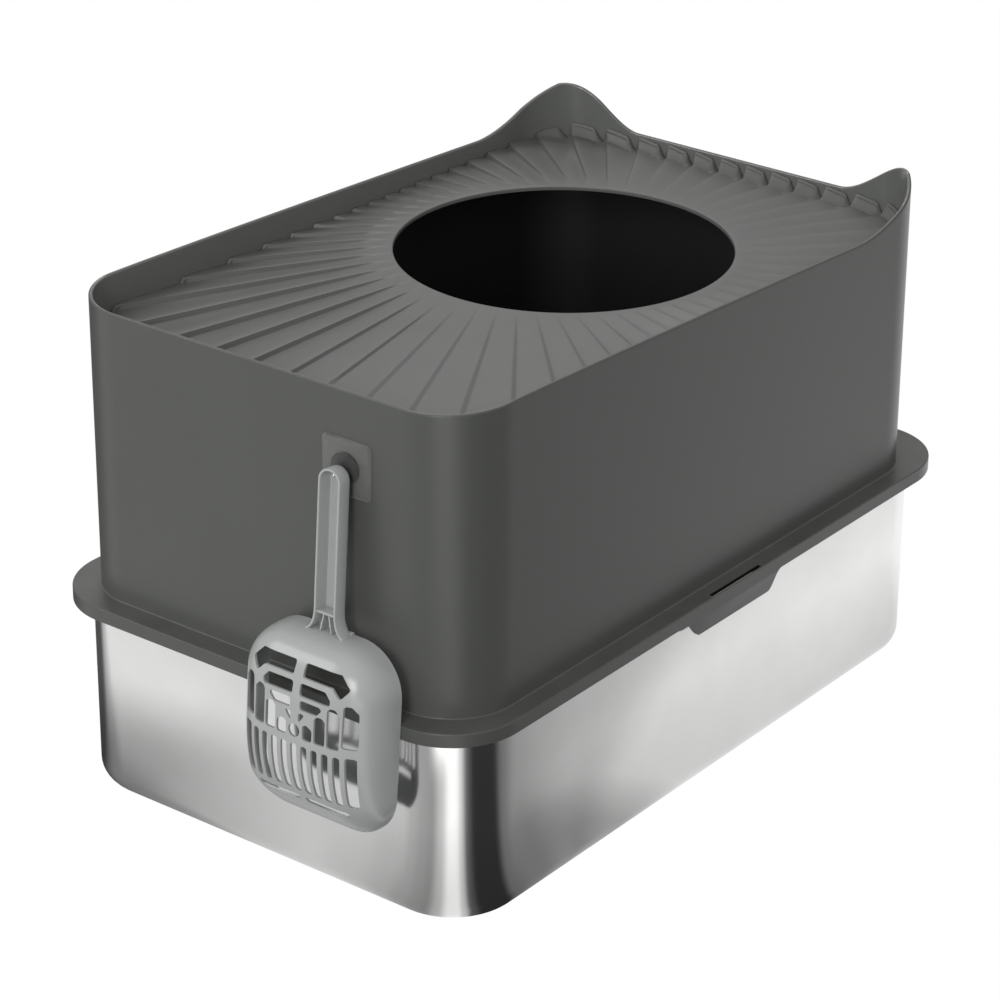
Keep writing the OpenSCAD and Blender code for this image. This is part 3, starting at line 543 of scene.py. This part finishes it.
def makeLidTree(material):
    tree = bpy.data.node_groups.new("ribbedLid", "GeometryNodeTree")
    tree.interface.new_socket("Geometry", in_out="INPUT", socket_type="NodeSocketGeometry")
    for label, value in lidDims.items():
        kind = "NodeSocketInt" if isinstance(value, int) else floatKind
        tree.interface.new_socket(label, in_out="INPUT", socket_type=kind)
    tree.interface.new_socket("Geometry", in_out="OUTPUT", socket_type="NodeSocketGeometry")
    given = addNode(tree, "NodeGroupInput").outputs
    shape = ribShape

    def calc(operation, a, b=None, c=None, clamp=False):
        return mathNode(tree, operation, a, b, c, clamp)

    def minus(a, b):
        return calc("SUBTRACT", a, b)

    def times(a, b):
        return calc("MULTIPLY", a, b)

    # a grid whose x is the way round and whose y is the row
    starts, total = {}, 0
    for part, rows in lidRows.items():
        starts[part] = total
        total += rows
    columns = calc("MULTIPLY_ADD", given["Rib Count"], float(columnsPerRib), 1.0)
    unit = {"Size X": 1.0, "Size Y": 1.0, "Vertices X": columns, "Vertices Y": total + 1}
    grid = feedNode(tree, "GeometryNodeMeshGrid", unit)
    place = splitXyz(tree, addNode(tree, "GeometryNodeInputPosition").outputs[0])
    turn = calc("ADD", place["X"], 0.5)
    row = times(calc("ADD", place["Y"], 0.5), float(total))
    share = {part: rangeNode(tree, row, float(starts[part]), float(starts[part] + lidRows[part])) for part in lidRows}
    angle = times(turn, 2 * math.pi)
    cosA, sinA = calc("COSINE", angle), calc("SINE", angle)
    startX = calc("MULTIPLY_ADD", given["Swirl Radius"], sinA, minus(given["Hole X"], given["Mid X"]))
    startY = times(times(given["Swirl Radius"], cosA), -1.0)

    def alongLine(radius):
        # way along the rib's line to a circle round the hole
        return calc("SQRT", minus(times(radius, radius), times(given["Swirl Radius"], given["Swirl Radius"])))

    # the lid's outline, as a wall that each rib's line is cast at
    size = {"Width": times(given["Half Length"], 2.0), "Height": times(given["Half Width"], 2.0)}
    quad = feedNode(tree, "GeometryNodeCurvePrimitiveQuadrilateral", size)
    corners = {"Curve": quad.outputs["Curve"], "Radius": given["Corner Radius"], "Count": 32}
    fillet = feedNode(tree, "GeometryNodeFilletCurve", corners, mode="POLY")
    line = feedNode(tree, "GeometryNodeCurvePrimitiveLine", {"Start": (0.0, -0.05, 0.0), "End": (0.0, 0.05, 0.0)})
    swept = {"Curve": fillet.outputs["Curve"], "Profile Curve": line.outputs["Curve"]}
    wall = feedNode(tree, "GeometryNodeCurveToMesh", swept)
    ray = {"Target Geometry": wall.outputs["Mesh"], "Source Position": joinXyz(tree, startX, startY, 0.0),
           "Ray Direction": joinXyz(tree, cosA, sinA, 0.0), "Ray Length": 2.0}
    cast = feedNode(tree, "GeometryNodeRaycast", ray)
    toWall = cast.outputs["Hit Distance"]
    hitX = splitXyz(tree, cast.outputs["Hit Position"])["X"]

    # way along the rib's line
    toHole = alongLine(given["Hole Radius"])
    toRibs = alongLine(calc("ADD", given["Hole Radius"], given["Ring Width"]))
    lipAngle, edgeAngle = times(share["arc"], math.pi / 2), times(share["edge"], math.pi / 2)
    lipEnd = calc("ADD", toHole, given["Lip Round"])
    coveStart = minus(minus(toWall, given["Edge Round"]), given["Cove Width"])
    reach = calc("MULTIPLY_ADD", minus(1.0, calc("COSINE", lipAngle)), given["Lip Round"], toHole)
    reach = calc("MULTIPLY_ADD", share["ring"], minus(toRibs, lipEnd), reach)
    reach = calc("MULTIPLY_ADD", share["surface"], minus(coveStart, toRibs), reach)
    reach = calc("MULTIPLY_ADD", share["cove"], given["Cove Width"], reach)
    reach = calc("MULTIPLY_ADD", calc("SINE", edgeAngle), given["Edge Round"], reach)

    # height of a rib: it climbs, then drops to the next one
    climb = addNode(tree, "ShaderNodeFloatCurve")
    curve = climb.mapping.curves[0]
    while len(curve.points) < len(ribProfile):
        curve.points.new(0.5, 0.5)
    for point, spot in zip(curve.points, ribProfile):
        point.location = spot
        point.handle_type = "AUTO_CLAMPED"
    climb.mapping.update()
    plug(tree, climb.inputs["Value"], calc("FRACT", calc("MULTIPLY_ADD", turn, given["Rib Count"], 0.0001)))
    ribUp = times(minus(climb.outputs[0], 0.5), given["Rib Step"])
    # the ribs that run to the near corner are shallower
    toCorner = calc("MULTIPLY_ADD", cosA, shape["calmX"], times(sinA, shape["calmY"]))
    calm = rangeNode(tree, toCorner, shape["calmStart"], shape["calmFull"], kind="SMOOTHSTEP")
    ribUp = times(ribUp, minus(1.0, times(calm, given["Front Calm"])))
    # ribs grow fast near the hole and slowly further out
    run = times(minus(coveStart, toRibs), share["surface"])
    grown = minus(1.0, calc("EXPONENT", calc("DIVIDE", times(run, -1.0), given["Rib Growth"])))
    grown = calc("POWER", grown, shape["growPower"])
    # the panel falls from the low end to the ears
    xShare = calc("DIVIDE", calc("ADD", hitX, given["Half Length"]), times(given["Half Length"], 2.0))
    level = minus(given["Front Rise"], times(calc("ADD", given["Front Rise"], given["Rear Drop"]), xShare))
    top = calc("MULTIPLY_ADD", level, share["surface"], times(ribUp, grown))
    # each rib's end flares up against the wall between the ears
    flare = times(given["Cove Rise"], calc("MULTIPLY", climb.outputs[0], shape["flareSteep"], clamp=True))
    fromEnd = minus(given["Half Length"], hitX)
    fade = rangeNode(tree, fromEnd, shape["flareNear"], shape["flareFar"], 1.0, shape["flareRest"], "SMOOTHSTEP")
    flare = times(flare, fade)
    top = calc("ADD", top, times(flare, calc("POWER", share["cove"], shape["flarePower"])))

    # height along the section: up the lip, over the panel, round the edge
    lipRise = minus(given["Lip Drop"], given["Lip Round"])
    up = calc("MULTIPLY_ADD", share["lip"], lipRise, times(given["Lip Drop"], -1.0))
    up = calc("MULTIPLY_ADD", calc("SINE", lipAngle), given["Lip Round"], up)
    up = minus(calc("ADD", up, top), times(minus(1.0, calc("COSINE", edgeAngle)), given["Edge Round"]))
    # the skirt runs down to one level all round
    up = calc("MULTIPLY_ADD", share["skirt"], minus(times(given["Skirt Drop"], -1.0), up), up)

    placeX = calc("ADD", calc("MULTIPLY_ADD", reach, cosA, startX), given["Mid X"])
    placeY = calc("MULTIPLY_ADD", reach, sinA, startY)
    spots = joinXyz(tree, placeX, placeY, calc("ADD", up, given["Lid Height"]))
    moved = feedNode(tree, "GeometryNodeSetPosition", {"Geometry": grid.outputs["Mesh"], "Position": spots})
    merged = feedNode(tree, "GeometryNodeMergeByDistance", {"Geometry": moved.outputs["Geometry"], "Distance": 1e-6})
    real = feedNode(tree, "GeometryNodeRealizeInstances", {"Geometry": merged.outputs["Geometry"]})
    painted = feedNode(tree, "GeometryNodeSetMaterial", {"Geometry": real.outputs["Geometry"], "Material": material})
    feedNode(tree, "NodeGroupOutput", {"Geometry": painted.outputs["Geometry"]})
    return tree


def runTree(name, tree, values):
    # an object with the plain mesh that the tree gives
    piece = newObject(name, bpy.data.meshes.new(name))
    modifier = piece.modifiers.new(name, "NODES")
    modifier.node_group = tree
    for item in tree.interface.items_tree:
        if item.in_out == "INPUT" and item.name in values:
            modifier[item.identifier] = values[item.name]
    finishModifiers(piece)
    return piece


def makeLid():
    piece = runTree("entryLid", makeLidTree(lidPlasticPaintedLighter), lidDims)
    fixNormals(piece.data)
    work = openMesh(piece.data)
    highest = max(work.faces, key=lambda f: f.calc_center_median().z)
    if highest.normal.z < 0:
        bmesh.ops.reverse_faces(work, faces=work.faces)
    closeMesh(work, piece.data)
    thick = piece.modifiers.new("sheet", "SOLIDIFY")
    thick.thickness = lidSheet * mm
    thick.offset = -1
    thick.use_even_offset = True
    mesh = finishModifiers(piece)
    shadeSoft(mesh, 40)
    # the tree leaves an empty first slot
    paint(mesh, lidPlasticPaintedLighter)
    mesh.polygons.foreach_set("material_index", [0] * len(mesh.polygons))
    register(piece, "lid", "entry_lid")


makeLid()
print("lid made")


# litter scoop: a deep basket with a crowned floor, and a channel handle
# u runs across, v down from the hanging end, w out from the wall, in mm

scoopDims = {"origin": (-284.8, -78.2, 321.5), "lean": 4.225, "sheet": 1.8,
             "halfW": 57.5, "heelV": 115, "toeV": 252, "heelR": 34, "toeR": 31, "depth": 39.3,
             "flatEnd": 185, "dropR": 103, "crown": 3.2, "mouthR": 13, "mouthW": 0.35, "mouthRun": 30,
             "slotRound": 2.3, "slotW": (12, 60), "roundHoleV": 175.4, "roundHoleR": 4.7,
             "handleHalf": 9.2, "handleDepth": 12.4, "backR": 3.5, "flareAt": 100, "flareEnd": 115, "flareOut": 6.8,
             "handleEnd": 117.2, "handleLift": 0.04, "lipR": 0.7, "hangV": 9, "hangD": 5.6,
             "ribLow": 1.5, "crossRibV": 101.5, "crossRibHalf": 8.2, "crossRibT": 1.6, "crossRibDrop": 1.2,
             "thinRibSlant": 12, "thinRibT": 1.0, "thinRibU": 1.8, "thinRibFoot": 114.8, "thinRibDrop": 2.2}
# how far in from the basket's outline its rows stand
basketInsets = [0, 0.01, 0.06, 0.2, 0.5, 1, 1.7, 2.6, 3.8, 5.2, 7, 9, 11.5, 14.5, 18, 22, 27, 33, 40, 48, 57.5]
# one side's slots as corners (u, v); the other side mirrors them
scoopSlots = [[(3.8, 128), (33, 128), (41.2, 136.4), (34.9, 144.3), (28.6, 137.6), (3.8, 137.6)],
              [(3, 141.2), (24, 141.2), (28.3, 145.6), (28.3, 150.2), (3, 150.2)],
              [(4, 152.9), (20.5, 152.9), (22.2, 155.2), (18, 159.7), (4, 159.7)],
              [(3.2, 161.8), (8.6, 162.3), (3.2, 169.6)],
              [(6.8, 170.2), (10.5, 168.9), (14.9, 171.6), (14.9, 180.2), (6.8, 180.2)],
              [(16.3, 162.6), (18.8, 160.2), (22.8, 160.2), (25.3, 162.6), (25.3, 179.9), (16.3, 179.9)],
              [(26.5, 153.6), (28.8, 151.4), (32.6, 151.4), (35.8, 155.2), (35.8, 180), (26.5, 180)],
              [(37.9, 149), (39.6, 147.2), (43.4, 147.2), (47.6, 152), (47.8, 177.8), (37.2, 177.8)],
              [(39.8, 184), (47.3, 184), (47.3, 221.6), (39.8, 221.6)],
              [(2.5, 227.3), (38.5, 227.3), (38.5, 231.8), (2.5, 231.8)]]
combDims = {"count": 9, "width": 5.2, "pitch": 8.5, "start": 184.9, "end": 222}
scoopTurn = (Matrix.Rotation(math.radians(scoopDims["lean"]), 3, "Y")
             @ Matrix.Rotation(math.radians(-90), 3, "Z") @ Matrix.Rotation(math.radians(90), 3, "X"))


def scoopPoint(u, v, w):
    # a point of the scoop's own frame, in the shared frame
    return Vector(scoopDims["origin"]) + scoopTurn @ Vector((u, -v, w))


def basketRing(d, inset):
    # the basket's plan outline drawn in by inset, as (u, v)
    half = d["halfW"] - inset
    top, bottom = d["heelV"] + inset, d["toeV"] - inset
    leastR = 0.4
    heelR = min(max(d["heelR"] - inset, leastR), half)
    toeR = min(max(d["toeR"] - inset, leastR), half)
    ring = []

    def line(p, q, steps):
        ring.extend((p[0] + (q[0] - p[0]) * i / steps, p[1] + (q[1] - p[1]) * i / steps) for i in range(steps))

    def bend(u, v, r, start):
        for i in range(18):
            outU, outV = turned(r, start + 5 * i)
            ring.append((u + outU, v + outV))

    # steps that keep the rows off the slots' edges
    longSteps, shortSteps = 37, 31
    line((half, top + heelR), (half, bottom - toeR), longSteps)
    bend(half - toeR, bottom - toeR, toeR, 0)
    line((half - toeR, bottom), (toeR - half, bottom), shortSteps)
    bend(toeR - half, bottom - toeR, toeR, 90)
    line((-half, bottom - toeR), (-half, top + heelR), longSteps)
    bend(heelR - half, top + heelR, heelR, 180)
    line((heelR - half, top), (half - heelR, top), shortSteps)
    bend(half - heelR, top + heelR, heelR, 270)
    return ring


def basketDepth(d, v, inset):
    floor = d["depth"]
    if v > d["flatEnd"]:
        floor += math.sqrt(d["dropR"] ** 2 - (v - d["flatEnd"]) ** 2) - d["dropR"]
    power = d["crown"]
    return floor * (1 - (1 - min(inset / d["halfW"], 1)) ** power) ** (1 / power)


def roundCorners(corners, radius, steps=4):
    # a polygon with its corners rounded, as far as each side allows
    found = []
    count = len(corners)
    for i in range(count):
        before, here, after = (Vector(corners[(i + k) % count]) for k in (-1, 0, 1))
        a, b = before - here, after - here
        half = a.angle(b) / 2
        reach = min(radius / math.tan(half), a.length * 0.45, b.length * 0.45)
        start, end = here + a.normalized() * reach, here + b.normalized() * reach
        for k in range(steps + 1):
            t = k / steps
            found.append(tuple(start * (1 - t) ** 2 + here * 2 * t * (1 - t) + end * t ** 2))
    return found


def addBlock(work, first, last):
    # a solid between two outlines of scoop points with the same count
    rings = [[work.verts.new(scoopPoint(*p) * mm) for p in points] for points in (first, last)]
    verts = rings[0] + rings[1]
    for face in ringFaces(0, 1, len(first)):
        work.faces.new([verts[i] for i in face])
    work.faces.new(rings[0])
    work.faces.new(rings[1])


def addPrism(work, outline, low, high):
    # a straight prism over an outline of (u, v), from low to high in w
    addBlock(work, [(u, v, low) for u, v in outline], [(u, v, high) for u, v in outline])


def addRod(work, u, v, radius, step, low, high):
    around = [turned(radius, a) for a in range(0, 360, step)]
    addPrism(work, [(u + outU, v + outV) for outU, outV in around], low, high)


def cutScoop(piece, work):
    bmesh.ops.recalc_face_normals(work, faces=work.faces)
    cutAway(piece, work, "MANIFOLD")


def cutMouth(d, piece):
    # the side walls end in a round, and the lip stays open
    r, toe, edge, outer = d["mouthR"], d["toeV"], d["mouthW"], 70
    profile = [(toe - r - d["mouthRun"], -8), (toe - r - d["mouthRun"], edge), (toe - r, edge)]
    for a in range(6, 91, 6):
        down, out = turned(r, a)
        profile.append((toe - r + out, edge + r - down))
    profile += [(toe + 6, r + edge), (toe + 6, -8)]
    work = bmesh.new()
    addBlock(work, [(-outer, v, w) for v, w in profile], [(outer, v, w) for v, w in profile])
    cutScoop(piece, work)


def cutSlots(d, comb, piece):
    outlines = []
    for side in (-1, 1):
        for corners in scoopSlots:
            outlines.append([(u * side, v) for u, v in roundCorners(corners, d["slotRound"])])
    start, end, half = comb["start"], comb["end"], comb["width"] / 2
    for i in range(comb["count"]):
        middle = (i - (comb["count"] - 1) / 2) * comb["pitch"]
        left, right = middle - half, middle + half
        outlines.append(roundCorners([(left, start), (right, start), (right, end), (left, end)], d["slotRound"]))
    work = bmesh.new()
    for outline in outlines:
        addPrism(work, outline, *d["slotW"])
    addRod(work, 0, d["roundHoleV"], d["roundHoleR"], 10, *d["slotW"])
    cutScoop(piece, work)


def makeBasket(d):
    rings = []
    for inset in basketInsets:
        rings.append([scoopPoint(u, v, basketDepth(d, v, inset)) * mm for u, v in basketRing(d, inset)])
    faces = [face for k in range(len(rings) - 1) for face in ringFaces(k, k + 1, len(rings[0]))]
    mesh = bpy.data.meshes.new("basket")
    mesh.from_pydata([p for ring in rings for p in ring], [], faces)
    work = openMesh(mesh)
    bmesh.ops.remove_doubles(work, verts=work.verts, dist=2e-5)
    bmesh.ops.dissolve_degenerate(work, edges=work.edges, dist=1e-6)
    bmesh.ops.recalc_face_normals(work, faces=work.faces)
    outwards = (scoopPoint(0, 0, 1) - scoopPoint(0, 0, 0)).normalized()
    floorMiddle = scoopPoint(0, 182, d["depth"])
    middle = min(work.faces, key=lambda f: (f.calc_center_median() / mm - floorMiddle).length)
    if middle.normal.dot(outwards) < 0:
        bmesh.ops.reverse_faces(work, faces=work.faces)
    closeMesh(work, mesh)
    piece = newObject("scoopBody", mesh)
    wall = piece.modifiers.new("wall", "SOLIDIFY")
    wall.thickness = d["sheet"] * mm
    wall.offset = -1
    finishModifiers(piece)
    cutMouth(d, piece)
    cutSlots(d, combDims, piece)
    return piece


def handleOutline(d):
    # the handle's outside as (u, v, nu, nv): round top, straight legs, and a curved flare at its root
    half, flareAt, end = d["handleHalf"], d["flareAt"], d["handleEnd"]
    points = []
    for i in range(25):
        u, up = turned(half, 180 - 180 * i / 24)
        points.append((u, half - up))
    right = [(half, half + (flareAt - half) * i / 8) for i in range(1, 9)]
    for i in range(1, 13):
        t = i / 12
        out = d["flareOut"] * (1 - math.sqrt(1 - t * t * 0.97)) / (1 - math.sqrt(0.03))
        right.append((half + out, flareAt + (d["flareEnd"] - flareAt) * t))
    right.append((half + d["flareOut"], end))
    points += right
    points += [(-u, v) for u, v in reversed(right)]
    found = []
    for i, (u, v) in enumerate(points):
        before, after = points[i - 1], points[(i + 1) % len(points)]
        along = Vector((after[0] - before[0], after[1] - before[1])).normalized()
        found.append((u, v, along.y, -along.x))
    return found


def makeHandle(d):
    t, deep, backR, lipR = d["sheet"], d["handleDepth"], d["backR"], d["lipR"]
    # (how far in from the outside, height) round the channel's wall
    section = []
    for a in range(0, 91, 15):
        down, out = turned(backR, a)
        section.append((backR - out, backR - down))
    section += [(0, deep - lipR), (0.2, deep - 0.2), (lipR, deep)]
    section += [(t - lipR, deep), (t - 0.2, deep - 0.2), (t, deep - lipR)]
    section += [(t, backR + 0.6), (t + 0.6, t + 0.5), (backR, t)]
    outline = handleOutline(d)
    rings = []
    for inset, w in section:
        rings.append([scoopPoint(u - nu * inset, v - nv * inset, w + d["handleLift"]) for u, v, nu, nv in outline])
    piece = newObject("handle", loftRings("handle", rings, False))
    work = bmesh.new()
    addRod(work, 0, d["hangV"], d["hangD"] / 2, 12, -1, 3)
    cutScoop(piece, work)
    return piece


def makeHandleRibs(d):
    # one rib across the channel, and two thin ones from it to the basket
    work = bmesh.new()
    v, foot, half, thin = d["crossRibV"], d["thinRibFoot"], d["crossRibHalf"], d["thinRibT"] / 2
    low, high = v - d["crossRibT"] / 2, v + d["crossRibT"] / 2
    corners = [(-half, low), (half, low), (half, high), (-half, high)]
    addPrism(work, corners, d["ribLow"], d["handleDepth"] - d["crossRibDrop"])
    for side in (-1, 1):
        slope = math.tan(math.radians(d["thinRibSlant"])) * side
        u0, u1 = side * d["thinRibU"], side * d["thinRibU"] + slope * (foot - v)
        corners = [(u0 - thin, v), (u0 + thin, v), (u1 + thin, foot), (u1 - thin, foot)]
        addPrism(work, corners, d["ribLow"], d["handleDepth"] - d["thinRibDrop"])
    bmesh.ops.recalc_face_normals(work, faces=work.faces)
    mesh = bpy.data.meshes.new("handleRibs")
    closeMesh(work, mesh)
    return newObject("handleRibs", mesh)


def makeScoop(d):
    piece = makeBasket(d)
    parts = [makeHandle(d), makeHandleRibs(d)]
    for part in parts:
        addBoolean(piece, part, "UNION", "MANIFOLD")
    mesh = finishModifiers(piece)
    for part in parts:
        bpy.data.objects.remove(part)
    # very short edges left by the cuts would spoil the shading
    work = openMesh(mesh)
    bmesh.ops.dissolve_degenerate(work, edges=work.edges, dist=0.005 * mm)
    closeMesh(work, mesh)
    shadeSoft(mesh, 40)
    paint(mesh, scoopPlastic)
    register(piece, "scoop", "scoop")


makeScoop(scoopDims)
print("scoop made")


# pieces dressed from their solids

def dressNode(name, node, body, material, bevel, below=None):
    # a merged copy of the solid's mesh, with its edges broken by a small bevel, or only those under a height
    mesh = nodes[node].data.copy()
    mesh.name = name
    mesh.materials.clear()
    work = openMesh(mesh)
    sharp = math.radians(35.0)
    bmesh.ops.remove_doubles(work, verts=work.verts, dist=2e-6)
    bmesh.ops.dissolve_limit(work, angle_limit=math.radians(1.0), verts=work.verts, edges=work.edges)
    if below:
        folds = [e for e in work.edges if len(e.link_faces) == 2 and e.calc_face_angle() > sharp]
        free = [e for e in folds if all(v.co.z < below * mm for v in e.verts)]
        bmesh.ops.bevel(work, geom=free, offset=bevel * mm, segments=3, profile=0.5, affect="EDGES", clamp_overlap=True)
    closeMesh(work, mesh)
    piece = newObject(name, mesh)
    if bevel and not below:
        edge = piece.modifiers.new("edge", "BEVEL")
        edge.width = bevel * mm
        edge.segments = 2
        edge.limit_method = "ANGLE"
        edge.angle_limit = sharp
        edge.use_clamp_overlap = True
        mesh = finishModifiers(piece)
    shadeSoft(mesh, 40)
    paint(mesh, material)
    register(piece, body, node)


dressNode("nearSnapTab", "near_snap_tab", "near_tab", hoodPlastic, 0.5, below=143.5)
dressNode("farSnapTab", "far_snap_tab", "far_tab", hoodPlastic, 0.5, below=143.5)
dressNode("hookPlate", "hook_plate", "hood", clearPlastic, 0.3)
dressNode("hookBoss", "hook_boss", "hood", clearBossPaintedShade, 0.4)
dressNode("hookPeg", "hook_peg", "peg", pegSteel, 0.3)
dressNode("hookAdhesive", "hook_adhesive", "hood", stickyFilm, 0)
print("small pieces made")


# floor, world, lamps and camera, in metres and degrees

studio = {"floorGrey": 0.3, "floorHalf": 14, "floorZ": -0.0006,
          "worldLevel": 0.55, "seenFloor": 0.985, "whiteLevel": 1.012,
          "cardPivot": (-0.2325, -0.1275), "cardLevel": 1.6, "panHalf": (0.285, 0.18), "panShade": (0.02, 0.13, 0.72),
          "farCard": 1.7, "farHeading": 156, "farWedge": (3, 20), "farReach": (0.27, 0.75),
          "paintedShadeSpots": [(-0.31, 0.17, 0.04, 0.19, 0.55), (-0.115, -0.19, 0.02, 0.09, 0.6)]}
# white and black cards laid round the object for its gloss alone: heading from the near corner, level
studioCards = [(-180, 0.29), (-168, 0.25), (-156, 0.48), (-145, 0.93), (-137, 0.95), (-131, 0.58), (-124, 0.085),
               (-114, 0.014), (-86, 0.014), (-72, 0.14), (-52, 0.23), (-37, 0.41), (-25, 0.66), (-12, 0.78),
               (10, 0.66), (35, 0.60), (58, 0.40), (74, 0.05), (96, 0.05), (103, 0.40), (110, 0.68),
               (124, 0.68), (138, 0.58), (152, 0.47), (165, 0.36), (180, 0.29)]
# name, place, aim, size, power
studioLamps = [("keyLamp", (-2.75, -1.0, 1.6), (0, 0, 0.2), (1.15, 1.15), 34.0),
               ("leftLamp", (-2.0, 1.8, 1.9), (0, 0, 0.3), (1.2, 1.2), 19.0),
               ("backLamp", (1.45, 1.3, 2.6), (0, 0, 0.3), (1.5, 1.5), 22.0),
               ("stripLamp", (-2.6, -1.0, 0.75), (0, 0, 0.35), (0.3, 1.0), 6.0)]
cameraDims = {"azimuth": -52.33, "height": 25.50, "roll": 0.34, "lens": 131.2, "sensor": 36,
              "foot": (0.27071, 0.22236, -0.0007), "distance": 3.037}


def cardLight(d, tree):
    # what the gloss sees of the floor: cards by heading, with painted shade under the pan and in two spots
    def calc(operation, a, b=None, c=None):
        return mathNode(tree, operation, a, b, c)

    place = splitXyz(tree, addNode(tree, "ShaderNodeTexCoord").outputs["Object"])
    x, y = place["X"], place["Y"]
    pivotX, pivotY = d["cardPivot"]
    heading = calc("ARCTAN2", calc("SUBTRACT", y, pivotY), calc("SUBTRACT", x, pivotX))
    cards = addNode(tree, "ShaderNodeValToRGB")
    cards.color_ramp.interpolation = "EASE"
    stops = cards.color_ramp.elements
    for angle, level in studioCards:
        ends = {-180: 0, 180: -1}
        stop = stops[ends[angle]] if angle in ends else stops.new((angle + 180) / 360)
        stop.color = (level, level, level, 1)
    plug(tree, cards.inputs["Fac"], rangeNode(tree, heading, -math.pi, math.pi))
    out = calc("MAXIMUM", *(calc("SUBTRACT", calc("ABSOLUTE", a), half) for a, half in zip((x, y), d["panHalf"])))
    near = rangeNode(tree, out, *d["panShade"], 1.0)
    # spots of painted shade in what the gloss sees
    for spotX, spotY, inner, outer, dim in d["paintedShadeSpots"]:
        awayX, awayY = calc("SUBTRACT", x, spotX), calc("SUBTRACT", y, spotY)
        away = calc("SQRT", calc("MULTIPLY_ADD", awayX, awayX, calc("MULTIPLY", awayY, awayY)))
        near = calc("MULTIPLY", near, rangeNode(tree, away, inner, outer, dim, 1.0))
    shine = calc("MULTIPLY", calc("MULTIPLY", cards.outputs["Color"], near), d["cardLevel"])
    # a brighter card further out, which only the hood's near corner sees
    aside = calc("ABSOLUTE", calc("ADD", heading, math.radians(d["farHeading"])))
    inner, outer = (math.radians(a) for a in d["farWedge"])
    wedge = rangeNode(tree, aside, inner, outer, 1.0, 0.0, "SMOOTHSTEP")
    beyond = rangeNode(tree, out, *d["farReach"], 0.0, d["farCard"], "SMOOTHSTEP")
    return calc("MULTIPLY_ADD", wedge, beyond, shine)


def mixShaders(tree, share, first, second, outKind):
    mix = addNode(tree, "ShaderNodeMixShader")
    plug(tree, mix.inputs[0], share)
    plug(tree, mix.inputs[1], first.outputs[0])
    plug(tree, mix.inputs[2], second.outputs[0])
    plug(tree, addNode(tree, outKind).inputs["Surface"], mix.outputs[0])


def makeFloor(d):
    r, z = d["floorHalf"], d["floorZ"]
    mesh = bpy.data.meshes.new("floor")
    mesh.from_pydata([(-r, -r, z), (r, -r, z), (r, r, z), (-r, r, z)], [], [(0, 1, 2, 3)])
    floor = newObject("floor", mesh)
    material = bpy.data.materials.new("paleFloor")
    material.use_nodes = True
    tree = material.node_tree
    tree.nodes.clear()
    diffuse = feedNode(tree, "ShaderNodeBsdfDiffuse", {"Color": (d["floorGrey"],) * 3 + (1,)})
    path = addNode(tree, "ShaderNodeLightPath").outputs
    level = mathNode(tree, "MULTIPLY", mathNode(tree, "SUBTRACT", cardLight(d, tree), 1.0), path["Is Glossy Ray"])
    glow = feedNode(tree, "ShaderNodeEmission", {"Strength": mathNode(tree, "ADD", level, d["whiteLevel"])})
    seen = mathNode(tree, "MAXIMUM", path["Is Camera Ray"], path["Is Transmission Ray"])
    seen = mathNode(tree, "MAXIMUM", seen, path["Is Glossy Ray"])
    mixShaders(tree, mathNode(tree, "MULTIPLY", seen, d["seenFloor"]), diffuse, glow, "ShaderNodeOutputMaterial")
    mesh.materials.append(material)


def makeWorld(d):
    # a pale sky that the camera sees as white
    world = bpy.data.worlds.new("studioWorld")
    scene.world = world
    world.use_nodes = True
    tree = world.node_tree
    tree.nodes.clear()
    sky, white = (feedNode(tree, "ShaderNodeBackground", {"Color": (1, 1, 1, 1), "Strength": level})
                  for level in (d["worldLevel"], 1.0))
    path = addNode(tree, "ShaderNodeLightPath")
    mixShaders(tree, path.outputs["Is Camera Ray"], sky, white, "ShaderNodeOutputWorld")


def addLamp(name, spot, aim, size, power):
    data = bpy.data.lights.new(name, "AREA")
    data.shape = "RECTANGLE"
    data.size, data.size_y = size
    data.energy = power
    lamp = newObject(name, data)
    lamp.location = spot
    lamp.visible_camera = False
    lamp.rotation_euler = (Vector(spot) - Vector(aim)).to_track_quat("Z", "Y").to_euler()


def makeCamera(d):
    azimuth, height, roll = (math.radians(d[key]) for key in ("azimuth", "height", "roll"))
    back = Vector((math.sin(azimuth) * math.cos(height), -math.cos(azimuth) * math.cos(height), math.sin(height)))
    right = Vector((math.cos(azimuth), math.sin(azimuth), 0))
    up = back.cross(right)
    right, up = right * math.cos(roll) + up * math.sin(roll), up * math.cos(roll) - right * math.sin(roll)
    data = bpy.data.cameras.new("photoCamera")
    data.sensor_width = d["sensor"]
    data.lens = d["lens"]
    data.clip_end = 60
    camera = newObject("photoCamera", data)
    facing = Matrix((right, up, back)).transposed().to_4x4()
    camera.matrix_world = Matrix.Translation(Vector(d["foot"]) + back * d["distance"]) @ facing
    scene.camera = camera


makeFloor(studio)
makeWorld(studio)
for lamp in studioLamps:
    addLamp(*lamp)
makeCamera(cameraDims)
scene.view_settings.view_transform = "Standard"
print("studio made")
